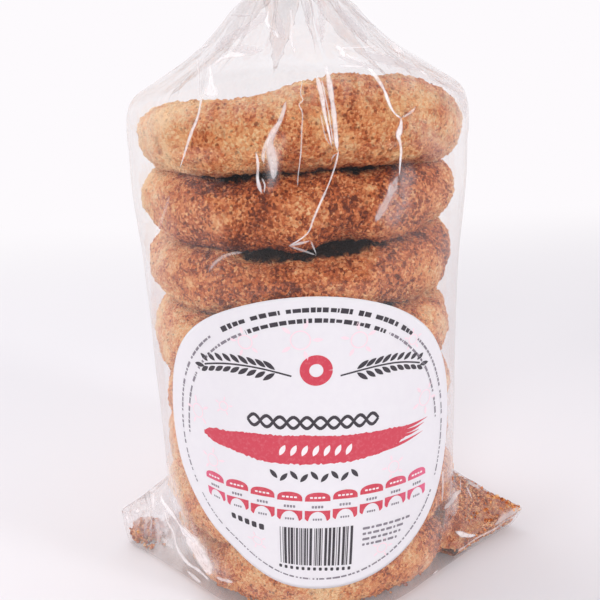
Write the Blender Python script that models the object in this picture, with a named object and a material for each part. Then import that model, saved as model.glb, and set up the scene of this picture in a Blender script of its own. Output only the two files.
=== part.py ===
"""A tied clear bag that holds a stack of ring-shaped breadsticks, with a paper label on its front.

The bag is one solid in the film's outer form: a round body on a flat base, a pointed corner on
each side at the floor, shoulders that draw in to the neck, and a pleated frill above the tie.
The origin is the centre of the base.  +Z is up, and the label faces -Y.
"""
import math
from collections import namedtuple

import bmesh
import bpy

# Driving dimensions of the bag, in metres
BODY_RADIUS = 0.0580
WAIST_RADIUS = 0.0572
WAIST_TOP_Z = 0.0900
BODY_TOP_Z = 0.1650
BASE_RADIUS = 0.0545
BASE_EDGE_HEIGHT = 0.0040
NECK_RADIUS = 0.0090
NECK_Z = 0.2140
NECK_HEIGHT = 0.0050
NECK_SHIFT = 0.0013
BODY_SHIFT = -0.0012
MOUTH_RADIUS = 0.0300
MOUTH_Z = 0.2540
MOUTH_DISH = 0.0040
MOUTH_FLATNESS = 0.18

# Shoulder and frill, each as (height, radius), between the body, the neck and the mouth
SHOULDER = (
    (0.1705, 0.0572),
    (0.1750, 0.0548),
    (0.1790, 0.0485),
    (0.1885, 0.0335),
    (0.1960, 0.0255),
    (0.2050, 0.0165),
)
FRILL = ((0.2195, 0.0112), (0.2300, 0.0190))

# Pleats run from the shoulder to the mouth; the depth is a share of the radius
PLEATS = 11
BROAD_FOLDS = 7
PLEAT_DEPTH = 0.17
PLEAT_START_Z = 0.1720

# Bottom corners: how far each reaches, where it is widest, where it meets the body and how much stays at the floor
Corner = namedtuple("Corner", "side reach tip_z top_z foot_share")
LEFT_CORNER = Corner(-1, 0.0795, 0.0150, 0.0480, 0.80)
RIGHT_CORNER = Corner(1, 0.0850, 0.0095, 0.0450, 0.55)
CORNER_HALF_ANGLE = math.radians(24.0)
FOOT_SPREAD = math.radians(14.0)
FOOT_SPREAD_Z = 0.0300
CORNER_FALL = 2.5
CORNER_THINNING = 1.25
CORNER_FORWARD = 0.0060

# Label and tie
LABEL_WIDTH = 0.1140
LABEL_HEIGHT = 0.1050
LABEL_MID_Z = 0.0655
LABEL_THICKNESS = 0.0003
TIE_HEIGHT = 0.0040
TIE_THICKNESS = 0.0009
TIE_TAIL = 0.0130
TIE_DIRECTION = math.radians(-62.0)
GAP = 0.0003

# Facets
BAG_SIDES = 90
LABEL_COLUMNS = 36
LABEL_ROWS = 8
TIE_ARC_STEPS = 36
TIE_BEND_STEPS = 4

BASE_HEIGHTS = (0.0, 0.0008, 0.0022, 0.0045, 0.0080)
CORNER_HEIGHTS = (0.0125, 0.0165, 0.0205, 0.0250, 0.0310, 0.0380, 0.0480)
BODY_HEIGHTS = (0.0700, 0.0950, 0.1200, 0.1450, 0.1620)
SHOULDER_HEIGHTS = (0.1700, 0.1735, 0.1770, 0.1810, 0.1855, 0.1905, 0.1955, 0.2005, 0.2055, 0.2095)
NECK_HEIGHTS = (0.2117, 0.2163)
FRILL_HEIGHTS = (0.2190, 0.2225, 0.2275, 0.2335, 0.2400, 0.2470, MOUTH_Z)


def smooth_step(low, high, value):
    """0 below low, 1 above high, and an S-shaped rise between them."""
    share = min(max((value - low) / (high - low), 0.0), 1.0)
    return share * share * (3.0 - 2.0 * share)


def curve_through(points, at):
    """The value at a position of a smooth curve through a few (position, value) points, by Hermite pieces."""
    slopes = []
    for i in range(len(points)):
        before = points[max(i - 1, 0)]
        after = points[min(i + 1, len(points) - 1)]
        slopes.append((after[1] - before[1]) / (after[0] - before[0]))
    for i in range(len(points) - 1):
        (x0, y0), (x1, y1) = points[i], points[i + 1]
        if at <= x1:
            width = x1 - x0
            t = (at - x0) / width
            rise = (1 + 2 * t) * (1 - t) ** 2 * y0 + t * t * (3 - 2 * t) * y1
            return rise + width * t * (1 - t) * ((1 - t) * slopes[i] - t * slopes[i + 1])
    return points[-1][1]


def bag_radius(z):
    """The film's mean distance from the axis at a height."""
    if z < BASE_EDGE_HEIGHT:
        rise = 1.0 - z / BASE_EDGE_HEIGHT
        return BASE_RADIUS + (WAIST_RADIUS - BASE_RADIUS) * math.sqrt(1.0 - rise * rise)
    if z < BODY_TOP_Z:
        return WAIST_RADIUS + (BODY_RADIUS - WAIST_RADIUS) * smooth_step(WAIST_TOP_Z, BODY_TOP_Z, z)
    neck_low = (NECK_Z - NECK_HEIGHT / 2, NECK_RADIUS)
    neck_high = (NECK_Z + NECK_HEIGHT / 2, NECK_RADIUS)
    if z < neck_low[0]:
        return curve_through(((BODY_TOP_Z, BODY_RADIUS),) + SHOULDER + (neck_low,), z)
    if z <= neck_high[0]:
        return NECK_RADIUS
    return curve_through((neck_high,) + FRILL + ((MOUTH_Z, MOUTH_RADIUS),), z)


def axis_shift(z):
    """How far the bag's middle line stands to the right at a height."""
    lower = BODY_SHIFT * (1.0 - smooth_step(WAIST_TOP_Z, BODY_TOP_Z, z))
    return lower + NECK_SHIFT * smooth_step(BODY_TOP_Z, NECK_Z, z)


def pleat(angle, z):
    """The share by which the pleats raise or lower the radius."""
    depth = PLEAT_DEPTH * smooth_step(PLEAT_START_Z, NECK_Z, z)
    if abs(z - NECK_Z) < NECK_HEIGHT / 2:
        depth *= 0.3
    narrow = math.cos(PLEATS * angle + 0.9 * math.sin(2 * angle))
    broad = math.cos(BROAD_FOLDS * angle + 0.6)
    return depth * (0.65 * narrow + 0.35 * broad)


def round_point(angle, z):
    """A point on the film where there is no corner."""
    radius = bag_radius(z) * (1.0 + pleat(angle, z))
    flat = MOUTH_FLATNESS * smooth_step(NECK_Z, MOUTH_Z, z)
    x = radius * (1.0 + flat) * math.cos(angle) + axis_shift(z)
    y = radius * (1.0 - flat) * math.sin(angle)
    return x, y, z


def corner_rise(corner, z):
    """How much of a corner's reach is there at a height, from 0 to 1."""
    if z >= corner.top_z:
        return 0.0
    if z > corner.tip_z:
        return ((corner.top_z - z) / (corner.top_z - corner.tip_z)) ** CORNER_FALL
    return corner.foot_share + (1.0 - corner.foot_share) * math.sin(0.5 * math.pi * z / corner.tip_z)


def corner_half_angle(z):
    """Half the angle that a bottom corner takes up at a height, wider towards the floor."""
    return CORNER_HALF_ANGLE + FOOT_SPREAD * max(0.0, 1.0 - z / FOOT_SPREAD_Z) ** 2


def corner_point(corner, offset, z):
    """The x and y of a bottom corner at an angle from its middle, and its rise there."""
    rise = corner_rise(corner, z)
    half_angle = corner_half_angle(z)
    root_x = bag_radius(z) * math.cos(half_angle)
    root_y = bag_radius(z) * math.sin(half_angle)
    tip_x = BODY_RADIUS + (corner.reach - BODY_RADIUS) * rise
    along = 1.0 - abs(offset) / half_angle
    x = corner.side * (root_x + (tip_x - root_x) * along) + axis_shift(z) * (1.0 - along)
    y = math.copysign(root_y * (1.0 - along) ** CORNER_THINNING, offset) * corner.side
    return x, y - CORNER_FORWARD * along * rise, rise


def bag_point(angle, z):
    """A point on the film, with the corner blended into the round body."""
    base = round_point(angle, z)
    for corner in (LEFT_CORNER, RIGHT_CORNER):
        middle = 0.0 if corner.side > 0 else math.pi
        offset = (angle - middle + math.pi) % (2 * math.pi) - math.pi
        if abs(offset) < corner_half_angle(z):
            x, y, rise = corner_point(corner, offset, z)
            share = smooth_step(0.0, 0.35, rise)
            return base[0] + (x - base[0]) * share, base[1] + (y - base[1]) * share, z
    return base


def material(name, colour, roughness):
    """A plain Principled material."""
    made = bpy.data.materials.new(name)
    made.use_nodes = True
    shader = made.node_tree.nodes["Principled BSDF"]
    shader.inputs["Base Color"].default_value = (*colour, 1.0)
    shader.inputs["Roughness"].default_value = roughness
    shader.inputs["Metallic"].default_value = 0.0
    made.diffuse_color = (*colour, 1.0)
    return made


def add_object(name, mesh_builder, look):
    """One named object from a bmesh, with its faces pointing out and its round parts smooth."""
    bmesh.ops.recalc_face_normals(mesh_builder, faces=mesh_builder.faces)
    mesh = bpy.data.meshes.new(name)
    mesh_builder.to_mesh(mesh)
    mesh_builder.free()
    mesh.materials.append(look)
    mesh.shade_smooth()
    mesh.set_sharp_from_angle(angle=math.radians(40.0))
    made = bpy.data.objects.new(name, mesh)
    bpy.context.scene.collection.objects.link(made)
    return made


def loft(mesh_builder, sections):
    """Joins closed sections of equally many vertices, one above the next."""
    for lower, upper in zip(sections, sections[1:]):
        count = len(lower)
        for i in range(count):
            after = (i + 1) % count
            mesh_builder.faces.new((lower[i], lower[after], upper[after], upper[i]))


def fan(mesh_builder, section, centre):
    """Closes a section with triangles around a centre vertex."""
    count = len(section)
    for i in range(count):
        mesh_builder.faces.new((section[i], section[(i + 1) % count], centre))


def make_bag():
    """The whole bag as one solid, lofted from the base to the mouth of the frill."""
    built = bmesh.new()
    heights = BASE_HEIGHTS + CORNER_HEIGHTS + BODY_HEIGHTS + SHOULDER_HEIGHTS + NECK_HEIGHTS + FRILL_HEIGHTS
    sections = []
    for z in heights:
        angles = (2 * math.pi * i / BAG_SIDES for i in range(BAG_SIDES))
        sections.append([built.verts.new(bag_point(angle, z)) for angle in angles])
    loft(built, sections)
    fan(built, sections[0], built.verts.new((BODY_SHIFT, 0.0, 0.0)))
    fan(built, sections[-1], built.verts.new((NECK_SHIFT, 0.0, MOUTH_Z - MOUTH_DISH)))
    return add_object("bag", built, material("clear_film", (0.86, 0.66, 0.48), 0.25))


def label_point(along, z, lift):
    """A point of the label, laid on the film at a distance round from the front and lifted off it."""
    angle = (along - BODY_SHIFT) / WAIST_RADIUS
    radius = bag_radius(z) + lift
    return radius * math.sin(angle) + axis_shift(z), -radius * math.cos(angle), z


def label_face(built, lift):
    """One face of the oval label, in upright columns; returns its rim in order."""
    columns = []
    for column in range(1, LABEL_COLUMNS):
        turn = math.pi * column / LABEL_COLUMNS
        along = -0.5 * LABEL_WIDTH * math.cos(turn)
        half = 0.5 * LABEL_HEIGHT * math.sin(turn)
        heights = [LABEL_MID_Z + half * (2 * row / LABEL_ROWS - 1) for row in range(LABEL_ROWS + 1)]
        columns.append([built.verts.new(label_point(along, z, lift)) for z in heights])
    for left, right in zip(columns, columns[1:]):
        for row in range(LABEL_ROWS):
            built.faces.new((left[row], right[row], right[row + 1], left[row + 1]))
    left_end = built.verts.new(label_point(-0.5 * LABEL_WIDTH, LABEL_MID_Z, lift))
    right_end = built.verts.new(label_point(0.5 * LABEL_WIDTH, LABEL_MID_Z, lift))
    for row in range(LABEL_ROWS):
        built.faces.new((left_end, columns[0][row], columns[0][row + 1]))
        built.faces.new((right_end, columns[-1][row + 1], columns[-1][row]))
    bottom = [column[0] for column in columns]
    top = [column[-1] for column in columns]
    return [left_end] + bottom + [right_end] + top[::-1]


def make_label():
    """The paper label: an oval sheet with a back, a front and a rim, bent round the body."""
    built = bmesh.new()
    back = label_face(built, GAP)
    front = label_face(built, GAP + LABEL_THICKNESS)
    loft(built, [back, front])
    return add_object("label", built, material("label_paper", (0.90, 0.88, 0.90), 0.6))


def tie_route():
    """The tie's middle line seen from above: a tail, once round the neck, and a second tail beside it."""
    radius = NECK_RADIUS * (1.0 + 0.3 * PLEAT_DEPTH) + GAP + TIE_THICKNESS / 2
    half_gap = TIE_THICKNESS / 2 + GAP / 2
    opening = math.asin(half_gap / radius) + 0.12
    points = []
    for i in range(TIE_ARC_STEPS + 1):
        turn = opening + (2 * math.pi - 2 * opening) * i / TIE_ARC_STEPS
        points.append((radius * math.cos(turn), radius * math.sin(turn)))
    start, end = points[0], points[-1]
    bend_end = radius + 0.0025
    first = []
    last = []
    for i in range(1, TIE_BEND_STEPS + 1):
        t = i / TIE_BEND_STEPS
        x = (1 - t) ** 2 * start[0] + 2 * t * (1 - t) * radius + t * t * bend_end
        first.append((x, (1 - t) ** 2 * start[1] + (1 - (1 - t) ** 2) * half_gap))
        last.append((x, (1 - t) ** 2 * end[1] - (1 - (1 - t) ** 2) * half_gap))
    tail_end = bend_end + TIE_TAIL
    route = [(tail_end, half_gap)] + first[::-1] + points + last + [(tail_end, -half_gap)]
    cos_turn, sin_turn = math.cos(TIE_DIRECTION), math.sin(TIE_DIRECTION)
    return [(NECK_SHIFT + x * cos_turn - y * sin_turn, x * sin_turn + y * cos_turn) for x, y in route]


def make_tie():
    """The flat tie: a thin upright strip swept along its route."""
    built = bmesh.new()
    route = tie_route()
    sections = []
    for i, (x, y) in enumerate(route):
        before = route[max(i - 1, 0)]
        after = route[min(i + 1, len(route) - 1)]
        length = math.hypot(after[0] - before[0], after[1] - before[1])
        side = (-(after[1] - before[1]) / length, (after[0] - before[0]) / length)
        corners = ((-0.5, -0.5), (0.5, -0.5), (0.5, 0.5), (-0.5, 0.5))
        section = []
        for across, up in corners:
            reach = across * TIE_THICKNESS
            section.append(built.verts.new((x + side[0] * reach, y + side[1] * reach, NECK_Z + up * TIE_HEIGHT)))
        sections.append(section)
    loft(built, sections)
    built.faces.new(sections[0])
    built.faces.new(sections[-1])
    return add_object("tie", built, material("tie_strip", (0.80, 0.25, 0.30), 0.5))


def main():
    for old in list(bpy.data.objects):
        bpy.data.objects.remove(old, do_unlink=True)
    make_bag()
    make_label()
    make_tie()


main()
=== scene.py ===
"""The looks of a tied clear bag with a stack of cinnamon ring breadsticks, crumbs and a paper label.

Lengths are in metres unless a name ends in _MM or a comment says so.  Angles round the bag are
measured from the front (-Y), positive towards +X, so that a point at angle a and distance r from
the axis is at (r sin a, -r cos a).
"""
import math

import bmesh
import bpy
import numpy as np
from mathutils import Matrix, Vector
from mathutils.bvhtree import BVHTree


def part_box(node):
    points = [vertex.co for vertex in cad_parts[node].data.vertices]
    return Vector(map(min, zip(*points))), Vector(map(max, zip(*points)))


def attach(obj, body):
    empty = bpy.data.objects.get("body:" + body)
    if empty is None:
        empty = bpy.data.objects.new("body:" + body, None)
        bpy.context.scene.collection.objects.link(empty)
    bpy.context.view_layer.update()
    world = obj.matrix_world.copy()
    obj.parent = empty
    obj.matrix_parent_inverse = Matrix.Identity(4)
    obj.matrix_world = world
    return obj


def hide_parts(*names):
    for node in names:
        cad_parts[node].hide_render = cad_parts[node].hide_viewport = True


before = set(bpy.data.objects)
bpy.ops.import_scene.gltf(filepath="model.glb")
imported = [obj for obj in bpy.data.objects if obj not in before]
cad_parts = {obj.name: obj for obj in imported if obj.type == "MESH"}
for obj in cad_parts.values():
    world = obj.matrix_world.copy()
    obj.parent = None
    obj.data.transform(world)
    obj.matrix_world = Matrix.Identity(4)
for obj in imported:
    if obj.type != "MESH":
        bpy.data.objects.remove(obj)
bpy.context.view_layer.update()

MM = 0.001
LABEL_LOW, LABEL_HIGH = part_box("label")
TIE_LOW, TIE_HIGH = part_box("tie")

# Camera, as fitted to the photograph: a 36 mm sensor, close to the bag and looking down on it
CAMERA_DISTANCE = 0.2514
CAMERA_HEIGHT = 0.1757
CAMERA_PITCH = math.radians(16.93)
CAMERA_ROLL = math.radians(-2.59)
CAMERA_YAW = math.radians(0.52)
CAMERA_LENS = 41.25

# The film's body, as in the CAD solid
WAIST_RADIUS = 0.0572
BODY_RADIUS = 0.0580
WAIST_TOP_Z = 0.0900
BODY_TOP_Z = 0.1650
BASE_RADIUS = 0.0545
BASE_EDGE_HEIGHT = 0.0040
BODY_SHIFT = -0.0012
NECK_Z = 0.5 * (TIE_LOW.z + TIE_HIGH.z)
NECK_RADIUS = 0.0086
NECK_HEIGHT = 0.0050
NECK_SHIFT = 0.0013
MOUTH_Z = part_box("bag")[1].z
MOUTH_RADIUS = 0.0300
LABEL_MID_Z = 0.5 * (LABEL_LOW.z + LABEL_HIGH.z)


def smooth_step(low, high, value):
    """0 below low, 1 above high, and an S-shaped rise between them."""
    share = np.clip((np.asarray(value, float) - low) / (high - low), 0.0, 1.0)
    return share * share * (3.0 - 2.0 * share)


def curve_through(points, at):
    """Values of a smooth curve through a few (position, value) points, by Hermite pieces."""
    x, y = np.array(points, float).T
    slope = np.gradient(y, x)
    at = np.clip(np.asarray(at, float), x[0], x[-1])
    i = np.clip(np.searchsorted(x, at) - 1, 0, len(x) - 2)
    width = x[i + 1] - x[i]
    t = (at - x[i]) / width
    rise = (1 + 2 * t) * (1 - t) ** 2 * y[i] + t * t * (3 - 2 * t) * y[i + 1]
    return rise + width * t * (1 - t) * ((1 - t) * slope[i] - t * slope[i + 1])


def curve_round(points, column, angle):
    """Values from one column of (angle in degrees, ...) points, as a smooth closed curve round the bag."""
    line = [(point[0], point[column]) for point in points]
    if len(line) == 1:
        return np.full_like(angle, line[0][1])
    before = [(place - 360, value) for place, value in line[-2:]]
    after = [(place + 360, value) for place, value in line[:2]]
    return curve_through(before + line + after, (np.degrees(angle) + 180) % 360 - 180)


def hashed(cells, seed):
    """A repeatable number from 0 to 1 for each whole-number cell (..., 3)."""
    mixed = cells.astype(np.int64) * np.array([73856093, 19349663, 83492791])
    value = (mixed[..., 0] ^ mixed[..., 1] ^ mixed[..., 2]) + seed * 2654435761
    value = (value ^ (value >> 13)) * 1274126177 & 0xFFFFFFFF
    value = (value ^ (value >> 16)) * 2246822519 & 0xFFFFFFFF
    return ((value ^ (value >> 15)) & 0xFFFFFF) / float(0x1000000)


def value_noise(points, size, seed):
    """Smooth noise from -1 to 1 with bumps of about the given size."""
    scaled = points / size
    cell = np.floor(scaled)
    part = scaled - cell
    part = part * part * part * (part * (part * 6 - 15) + 10)
    total = 0.0
    for corner in np.ndindex(2, 2, 2):
        weight = np.prod(np.where(corner, part, 1 - part), axis=-1)
        total = total + weight * hashed(cell + np.array(corner), seed)
    return 2 * total - 1


def rough_noise(points, size, seed, octaves=3):
    """Several layers of value noise, each half the size and weaker."""
    total = 0.0
    for octave in range(octaves):
        total = total + value_noise(points, size / 2 ** octave, seed + octave) * 0.55 ** octave
    return total


def grains(points, size, seed):
    """Round grains scattered one to a cell: height from 0 to 1, and a number for each grain."""
    scaled = points / size
    home = np.floor(scaled)
    best = np.zeros(len(points))
    which = np.zeros(len(points))
    for step in np.ndindex(3, 3, 3):
        cell = home + np.array(step) - 1
        centre = cell + np.stack([hashed(cell, seed + k) for k in (1, 2, 3)], -1)
        radius = 0.35 + 0.45 * hashed(cell, seed + 4)
        near = 1 - np.linalg.norm(scaled - centre, axis=1) / radius
        higher = near > best
        best = np.where(higher, near, best)
        which = np.where(higher, hashed(cell, seed + 5), which)
    return best, which


def object_of(name, data, material=None):
    """A new object in the scene for a mesh, a light or a camera.  A mesh is shaded smooth."""
    if material is not None:
        data.shade_smooth()
        data.materials.append(material)
    made = bpy.data.objects.new(name, data)
    bpy.context.scene.collection.objects.link(made)
    return made


def mesh_from_arrays(name, points, quads, material, triangles=()):
    """An object from arrays of points and faces, shaded smooth."""
    mesh = bpy.data.meshes.new(name)
    sides = [4] * len(quads) + [3] * len(triangles)
    flat = np.concatenate([np.asarray(quads, np.int32).ravel(), np.asarray(triangles, np.int32).ravel()])
    starts = np.concatenate([[0], np.cumsum(sides)[:-1]]).astype(np.int32)
    mesh.vertices.add(len(points))
    mesh.vertices.foreach_set("co", np.asarray(points, np.float32).ravel())
    mesh.loops.add(len(flat))
    mesh.loops.foreach_set("vertex_index", flat.astype(np.int32))
    mesh.polygons.add(len(sides))
    mesh.polygons.foreach_set("loop_start", starts)
    mesh.update(calc_edges=True)
    mesh.validate()
    return object_of(name, mesh, material)


def grid_quads(rows, columns, wrap_rows=False, wrap_columns=True, offset=0):
    """Quads of a grid of points numbered row by row."""
    last_row = rows if wrap_rows else rows - 1
    last_column = columns if wrap_columns else columns - 1
    r, c = np.meshgrid(np.arange(last_row), np.arange(last_column), indexing="ij")
    r2, c2 = (r + 1) % rows, (c + 1) % columns
    quads = np.stack([r * columns + c, r * columns + c2, r2 * columns + c2, r2 * columns + c], -1)
    return quads.reshape(-1, 4) + offset


def add_attribute(piece, name, values):
    """A number for each point of a mesh, for its material to read."""
    layer = piece.data.attributes.new(name, "FLOAT", "POINT")
    layer.data.foreach_set("value", np.asarray(values, np.float32))


def linear(red, green, blue):
    """A colour given as it looks on screen, 0 to 255, as the shader's linear values."""
    parts = [c / 255 for c in (red, green, blue)]
    return tuple(p / 12.92 if p <= 0.04045 else ((p + 0.055) / 1.055) ** 2.4 for p in parts) + (1.0,)


class Nodes:
    """Short calls for building a material's node tree."""

    def __init__(self, name):
        self.material = bpy.data.materials.new(name)
        self.material.use_nodes = True
        self.tree = self.material.node_tree
        self.shader = self.tree.nodes["Principled BSDF"]
        self.output = self.tree.nodes["Material Output"]

    def add(self, kind, **settings):
        node = self.tree.nodes.new(kind)
        for key, value in settings.items():
            setattr(node, key, value)
        return node

    def link(self, source, target):
        self.tree.links.new(source, target)

    def feed(self, target, value):
        if isinstance(value, bpy.types.NodeSocket):
            self.link(value, target)
        else:
            target.default_value = value

    def position(self):
        return self.add("ShaderNodeTexCoord").outputs["Object"]

    def attribute(self, name):
        return self.add("ShaderNodeAttribute", attribute_name=name).outputs["Fac"]

    def noise(self, size, detail=3.0, roughness=0.6, stretch=None):
        """Noise with features of a size in metres."""
        where = self.position()
        if stretch is not None:
            mapping = self.add("ShaderNodeMapping")
            mapping.inputs["Scale"].default_value = stretch
            self.link(where, mapping.inputs["Vector"])
            where = mapping.outputs["Vector"]
        node = self.add("ShaderNodeTexNoise")
        node.inputs["Scale"].default_value = 1 / size
        node.inputs["Detail"].default_value = detail
        node.inputs["Roughness"].default_value = roughness
        self.link(where, node.inputs["Vector"])
        return node.outputs["Fac"]

    def cells(self, size, output="Distance", wander=0.0):
        """A pattern of cells of a size in metres, with borders that wander where asked."""
        where = self.position()
        if wander:
            shift = self.add("ShaderNodeTexNoise")
            shift.inputs["Scale"].default_value = 1 / size
            self.link(where, shift.inputs["Vector"])
            moved = self.add("ShaderNodeVectorMath", operation="MULTIPLY_ADD")
            self.link(shift.outputs["Color"], moved.inputs[0])
            moved.inputs[1].default_value = (wander, wander, wander)
            self.link(where, moved.inputs[2])
            where = moved.outputs[0]
        node = self.add("ShaderNodeTexVoronoi")
        node.inputs["Scale"].default_value = 1 / size
        self.link(where, node.inputs["Vector"])
        return node.outputs[output]

    def math(self, operation, first, second=0.0, clamp=False):
        node = self.add("ShaderNodeMath", operation=operation, use_clamp=clamp)
        self.feed(node.inputs[0], first)
        self.feed(node.inputs[1], second)
        return node.outputs[0]

    def ramp(self, value, low, high, to_low=0.0, to_high=1.0):
        """A number moved from one range to another with soft ends."""
        node = self.add("ShaderNodeMapRange", interpolation_type="SMOOTHSTEP")
        self.feed(node.inputs["Value"], value)
        node.inputs["From Min"].default_value = low
        node.inputs["From Max"].default_value = high
        node.inputs["To Min"].default_value = to_low
        node.inputs["To Max"].default_value = to_high
        return node.outputs["Result"]

    def colours(self, value, stops):
        """A colour that changes with a number, through (place from 0 to 1, colour) stops."""
        node = self.add("ShaderNodeValToRGB")
        points = node.color_ramp.elements
        while len(points) < len(stops):
            points.new(1.0)
        for point, (place, colour) in zip(points, stops):
            point.position = place
            point.color = linear(*colour)
        self.feed(node.inputs["Fac"], value)
        return node.outputs["Color"]

    def mix(self, share, first, second):
        node = self.add("ShaderNodeMix", data_type="RGBA")
        self.feed(node.inputs[0], share)
        self.feed(node.inputs[6], first)
        self.feed(node.inputs[7], second)
        return node.outputs[2]

    def bump(self, height, distance, strength=1.0):
        node = self.add("ShaderNodeBump")
        node.inputs["Strength"].default_value = strength
        node.inputs["Distance"].default_value = distance
        self.feed(node.inputs["Height"], height)
        return node.outputs["Normal"]

    def see_through(self, colour=(1.0, 1.0, 1.0, 1.0)):
        """A shader that lets light straight through."""
        node = self.add("ShaderNodeBsdfTransparent")
        node.inputs["Color"].default_value = colour
        return node.outputs[0]

    def blend(self, share, first, second):
        """Two shaders mixed by a number."""
        node = self.add("ShaderNodeMixShader")
        for socket, value in zip(node.inputs, (share, first, second)):
            self.feed(socket, value)
        return node.outputs[0]


# The crust's colours from bare dough to thick cinnamon, as (place from 0 to 1, colour)
CRUST_COLOURS = (
    (0.00, (254, 210, 158)),
    (0.20, (246, 180, 124)),
    (0.40, (233, 148, 92)),
    (0.60, (208, 110, 60)),
    (0.80, (164, 78, 38)),
    (1.00, (112, 48, 22)),
)
GRIT_SIZE = 0.00075
CLUMP_SIZE = 0.0017


def crust_material():
    """Baked dough under an uneven coating of cinnamon and sugar grains, with painted shade in its pits and in
    the gaps between rings, and small painted highlights.
    """
    n = Nodes("cinnamon_crust")
    coat, pit_shade, tone, gap_shade = (n.attribute(name) for name in ("coat", "pit_shade", "tone", "gap_shade"))
    mottle = n.noise(0.0032, 3.0, 0.6)
    grit = n.cells(GRIT_SIZE, "Color", 0.0002)
    clump = n.cells(CLUMP_SIZE, "Color", 0.0008)
    uneven = n.math("MULTIPLY", tone, 0.10)
    for part, share in ((grit, 0.62), (clump, 0.24), (mottle, 0.55)):
        uneven = n.math("ADD", uneven, n.math("MULTIPLY", n.math("SUBTRACT", part, 0.5), share))
    strength = n.math("ADD", n.math("MULTIPLY", coat, 1.2), 0.55)
    level = n.math("ADD", coat, n.math("MULTIPLY", uneven, strength))
    colour = n.colours(level, CRUST_COLOURS)
    # Pale dots: painted small highlights on the grains, kept to the lighter parts of the mottling
    pale = n.ramp(n.cells(0.0013), 0.10, 0.34, 1.0, 0.0)
    pale = n.math("MULTIPLY", pale, n.ramp(mottle, 0.40, 0.55, 1.0, 0.0))
    colour = n.mix(n.math("MULTIPLY", pale, 0.35), colour, linear(253, 214, 176))
    speck = n.math("ADD", n.cells(0.0022, wander=0.0012), n.math("MULTIPLY", mottle, -0.5))
    speck = n.math("MULTIPLY", n.ramp(speck, -0.12, 0.04, 0.70, 0.0), n.ramp(coat, 0.0, 0.45, 0.45, 1.0))
    colour = n.mix(speck, colour, linear(122, 54, 22))
    # Painted shade: darker in pits and in the hollows between grains
    colour = n.mix(n.ramp(pit_shade, 0.1, 1.0, 0.0, 0.45), colour, linear(140, 62, 28))
    # Painted shade: near black where a ring meets the next, in place of the shade in the gaps between rings
    gap = n.math("ADD", gap_shade, n.math("MULTIPLY", n.math("SUBTRACT", clump, 0.5), 0.5))
    colour = n.mix(n.ramp(gap, 0.30, 0.95), colour, linear(18, 9, 5))
    n.link(colour, n.shader.inputs["Base Color"])
    n.shader.inputs["Roughness"].default_value = 0.85
    n.shader.inputs["Specular IOR Level"].default_value = 0.2
    dents = n.math("MULTIPLY", n.cells(GRIT_SIZE, wander=0.0002), -1.2)
    rough = n.math("ADD", n.noise(0.0007, 3.0, 0.7), dents)
    n.link(n.bump(rough, 0.00055), n.shader.inputs["Normal"])
    return n.material


def film_material():
    """Thin clear film: see-through, glossy more at a slant, with a faint haze, fine crinkles and milkier
    places where soft highlights are painted.
    """
    n = Nodes("clear_film")
    n.tree.nodes.remove(n.shader)
    clear = n.see_through((0.992, 0.991, 0.991, 1.0))
    gloss = n.add("ShaderNodeBsdfGlossy")
    gloss.inputs["Color"].default_value = (1.0, 1.0, 1.0, 1.0)
    gloss.inputs["Roughness"].default_value = 0.05
    haze = n.add("ShaderNodeBsdfDiffuse")
    milk_and_sheen = n.attribute("milk_and_sheen")
    # Milkier and brighter where soft highlights are painted
    milk = n.mix(n.ramp(milk_and_sheen, 0.0, 0.25), linear(226, 222, 225), linear(240, 236, 240))
    n.link(milk, haze.inputs["Color"])
    fine = n.bump(n.noise(0.0060, 2.0, 0.5), 0.0010, 0.15)
    n.link(fine, gloss.inputs["Normal"])
    slant = n.add("ShaderNodeLayerWeight")
    slant.inputs["Blend"].default_value = 0.5
    n.link(fine, slant.inputs["Normal"])
    facing = slant.outputs["Facing"]
    shine = n.math("ADD", n.math("MULTIPLY", n.math("POWER", facing, 4.5), 0.75), 0.07)
    dull = n.math("MULTIPLY", n.math("POWER", facing, 3.0), 0.28)
    dull = n.math("ADD", dull, n.ramp(n.noise(0.02), 0.3, 0.7, 0.004, 0.014))
    streaks = n.ramp(n.noise(0.0030, 3.0, 0.6, (1.0, 1.0, 0.45)), 0.35, 0.62, 0.35, 1.25)
    dull = n.math("ADD", dull, n.math("MULTIPLY", milk_and_sheen, streaks), clamp=True)
    bare = n.blend(shine, clear, gloss.outputs[0])
    n.link(n.blend(dull, bare, haze.outputs[0]), n.output.inputs["Surface"])
    return n.material


def plain_material(name, grain, detail, colours, roughness, relief=None):
    """A faintly mottled surface, with bumps of (size, height, strength) where asked."""
    n = Nodes(name)
    first, second = (linear(*colour) for colour in colours)
    n.link(n.mix(n.noise(grain, detail), first, second), n.shader.inputs["Base Color"])
    n.shader.inputs["Roughness"].default_value = roughness
    if relief is not None:
        size, height, strength = relief
        n.link(n.bump(n.noise(size, 2.0), height, strength), n.shader.inputs["Normal"])
    return n.material


def paper_material():
    """Coated white label paper with the faintest fibre mottling."""
    colours = ((232, 229, 233), (226, 222, 228))
    return plain_material("label_paper", 0.003, 4.0, colours, 0.42, (0.0008, 0.00004, 0.5))


def ink_material(name, colour, faded):
    """Printed ink with slight unevenness."""
    return plain_material(name, 0.0025, 4.0, (colour, faded), 0.45)


def tie_material():
    """Plastic-covered wire strip."""
    colours = ((206, 62, 78), (188, 50, 68))
    return plain_material("tie_strip", 0.002, 3.0, colours, 0.38, (0.0006, 0.00008, 0.5))


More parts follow.
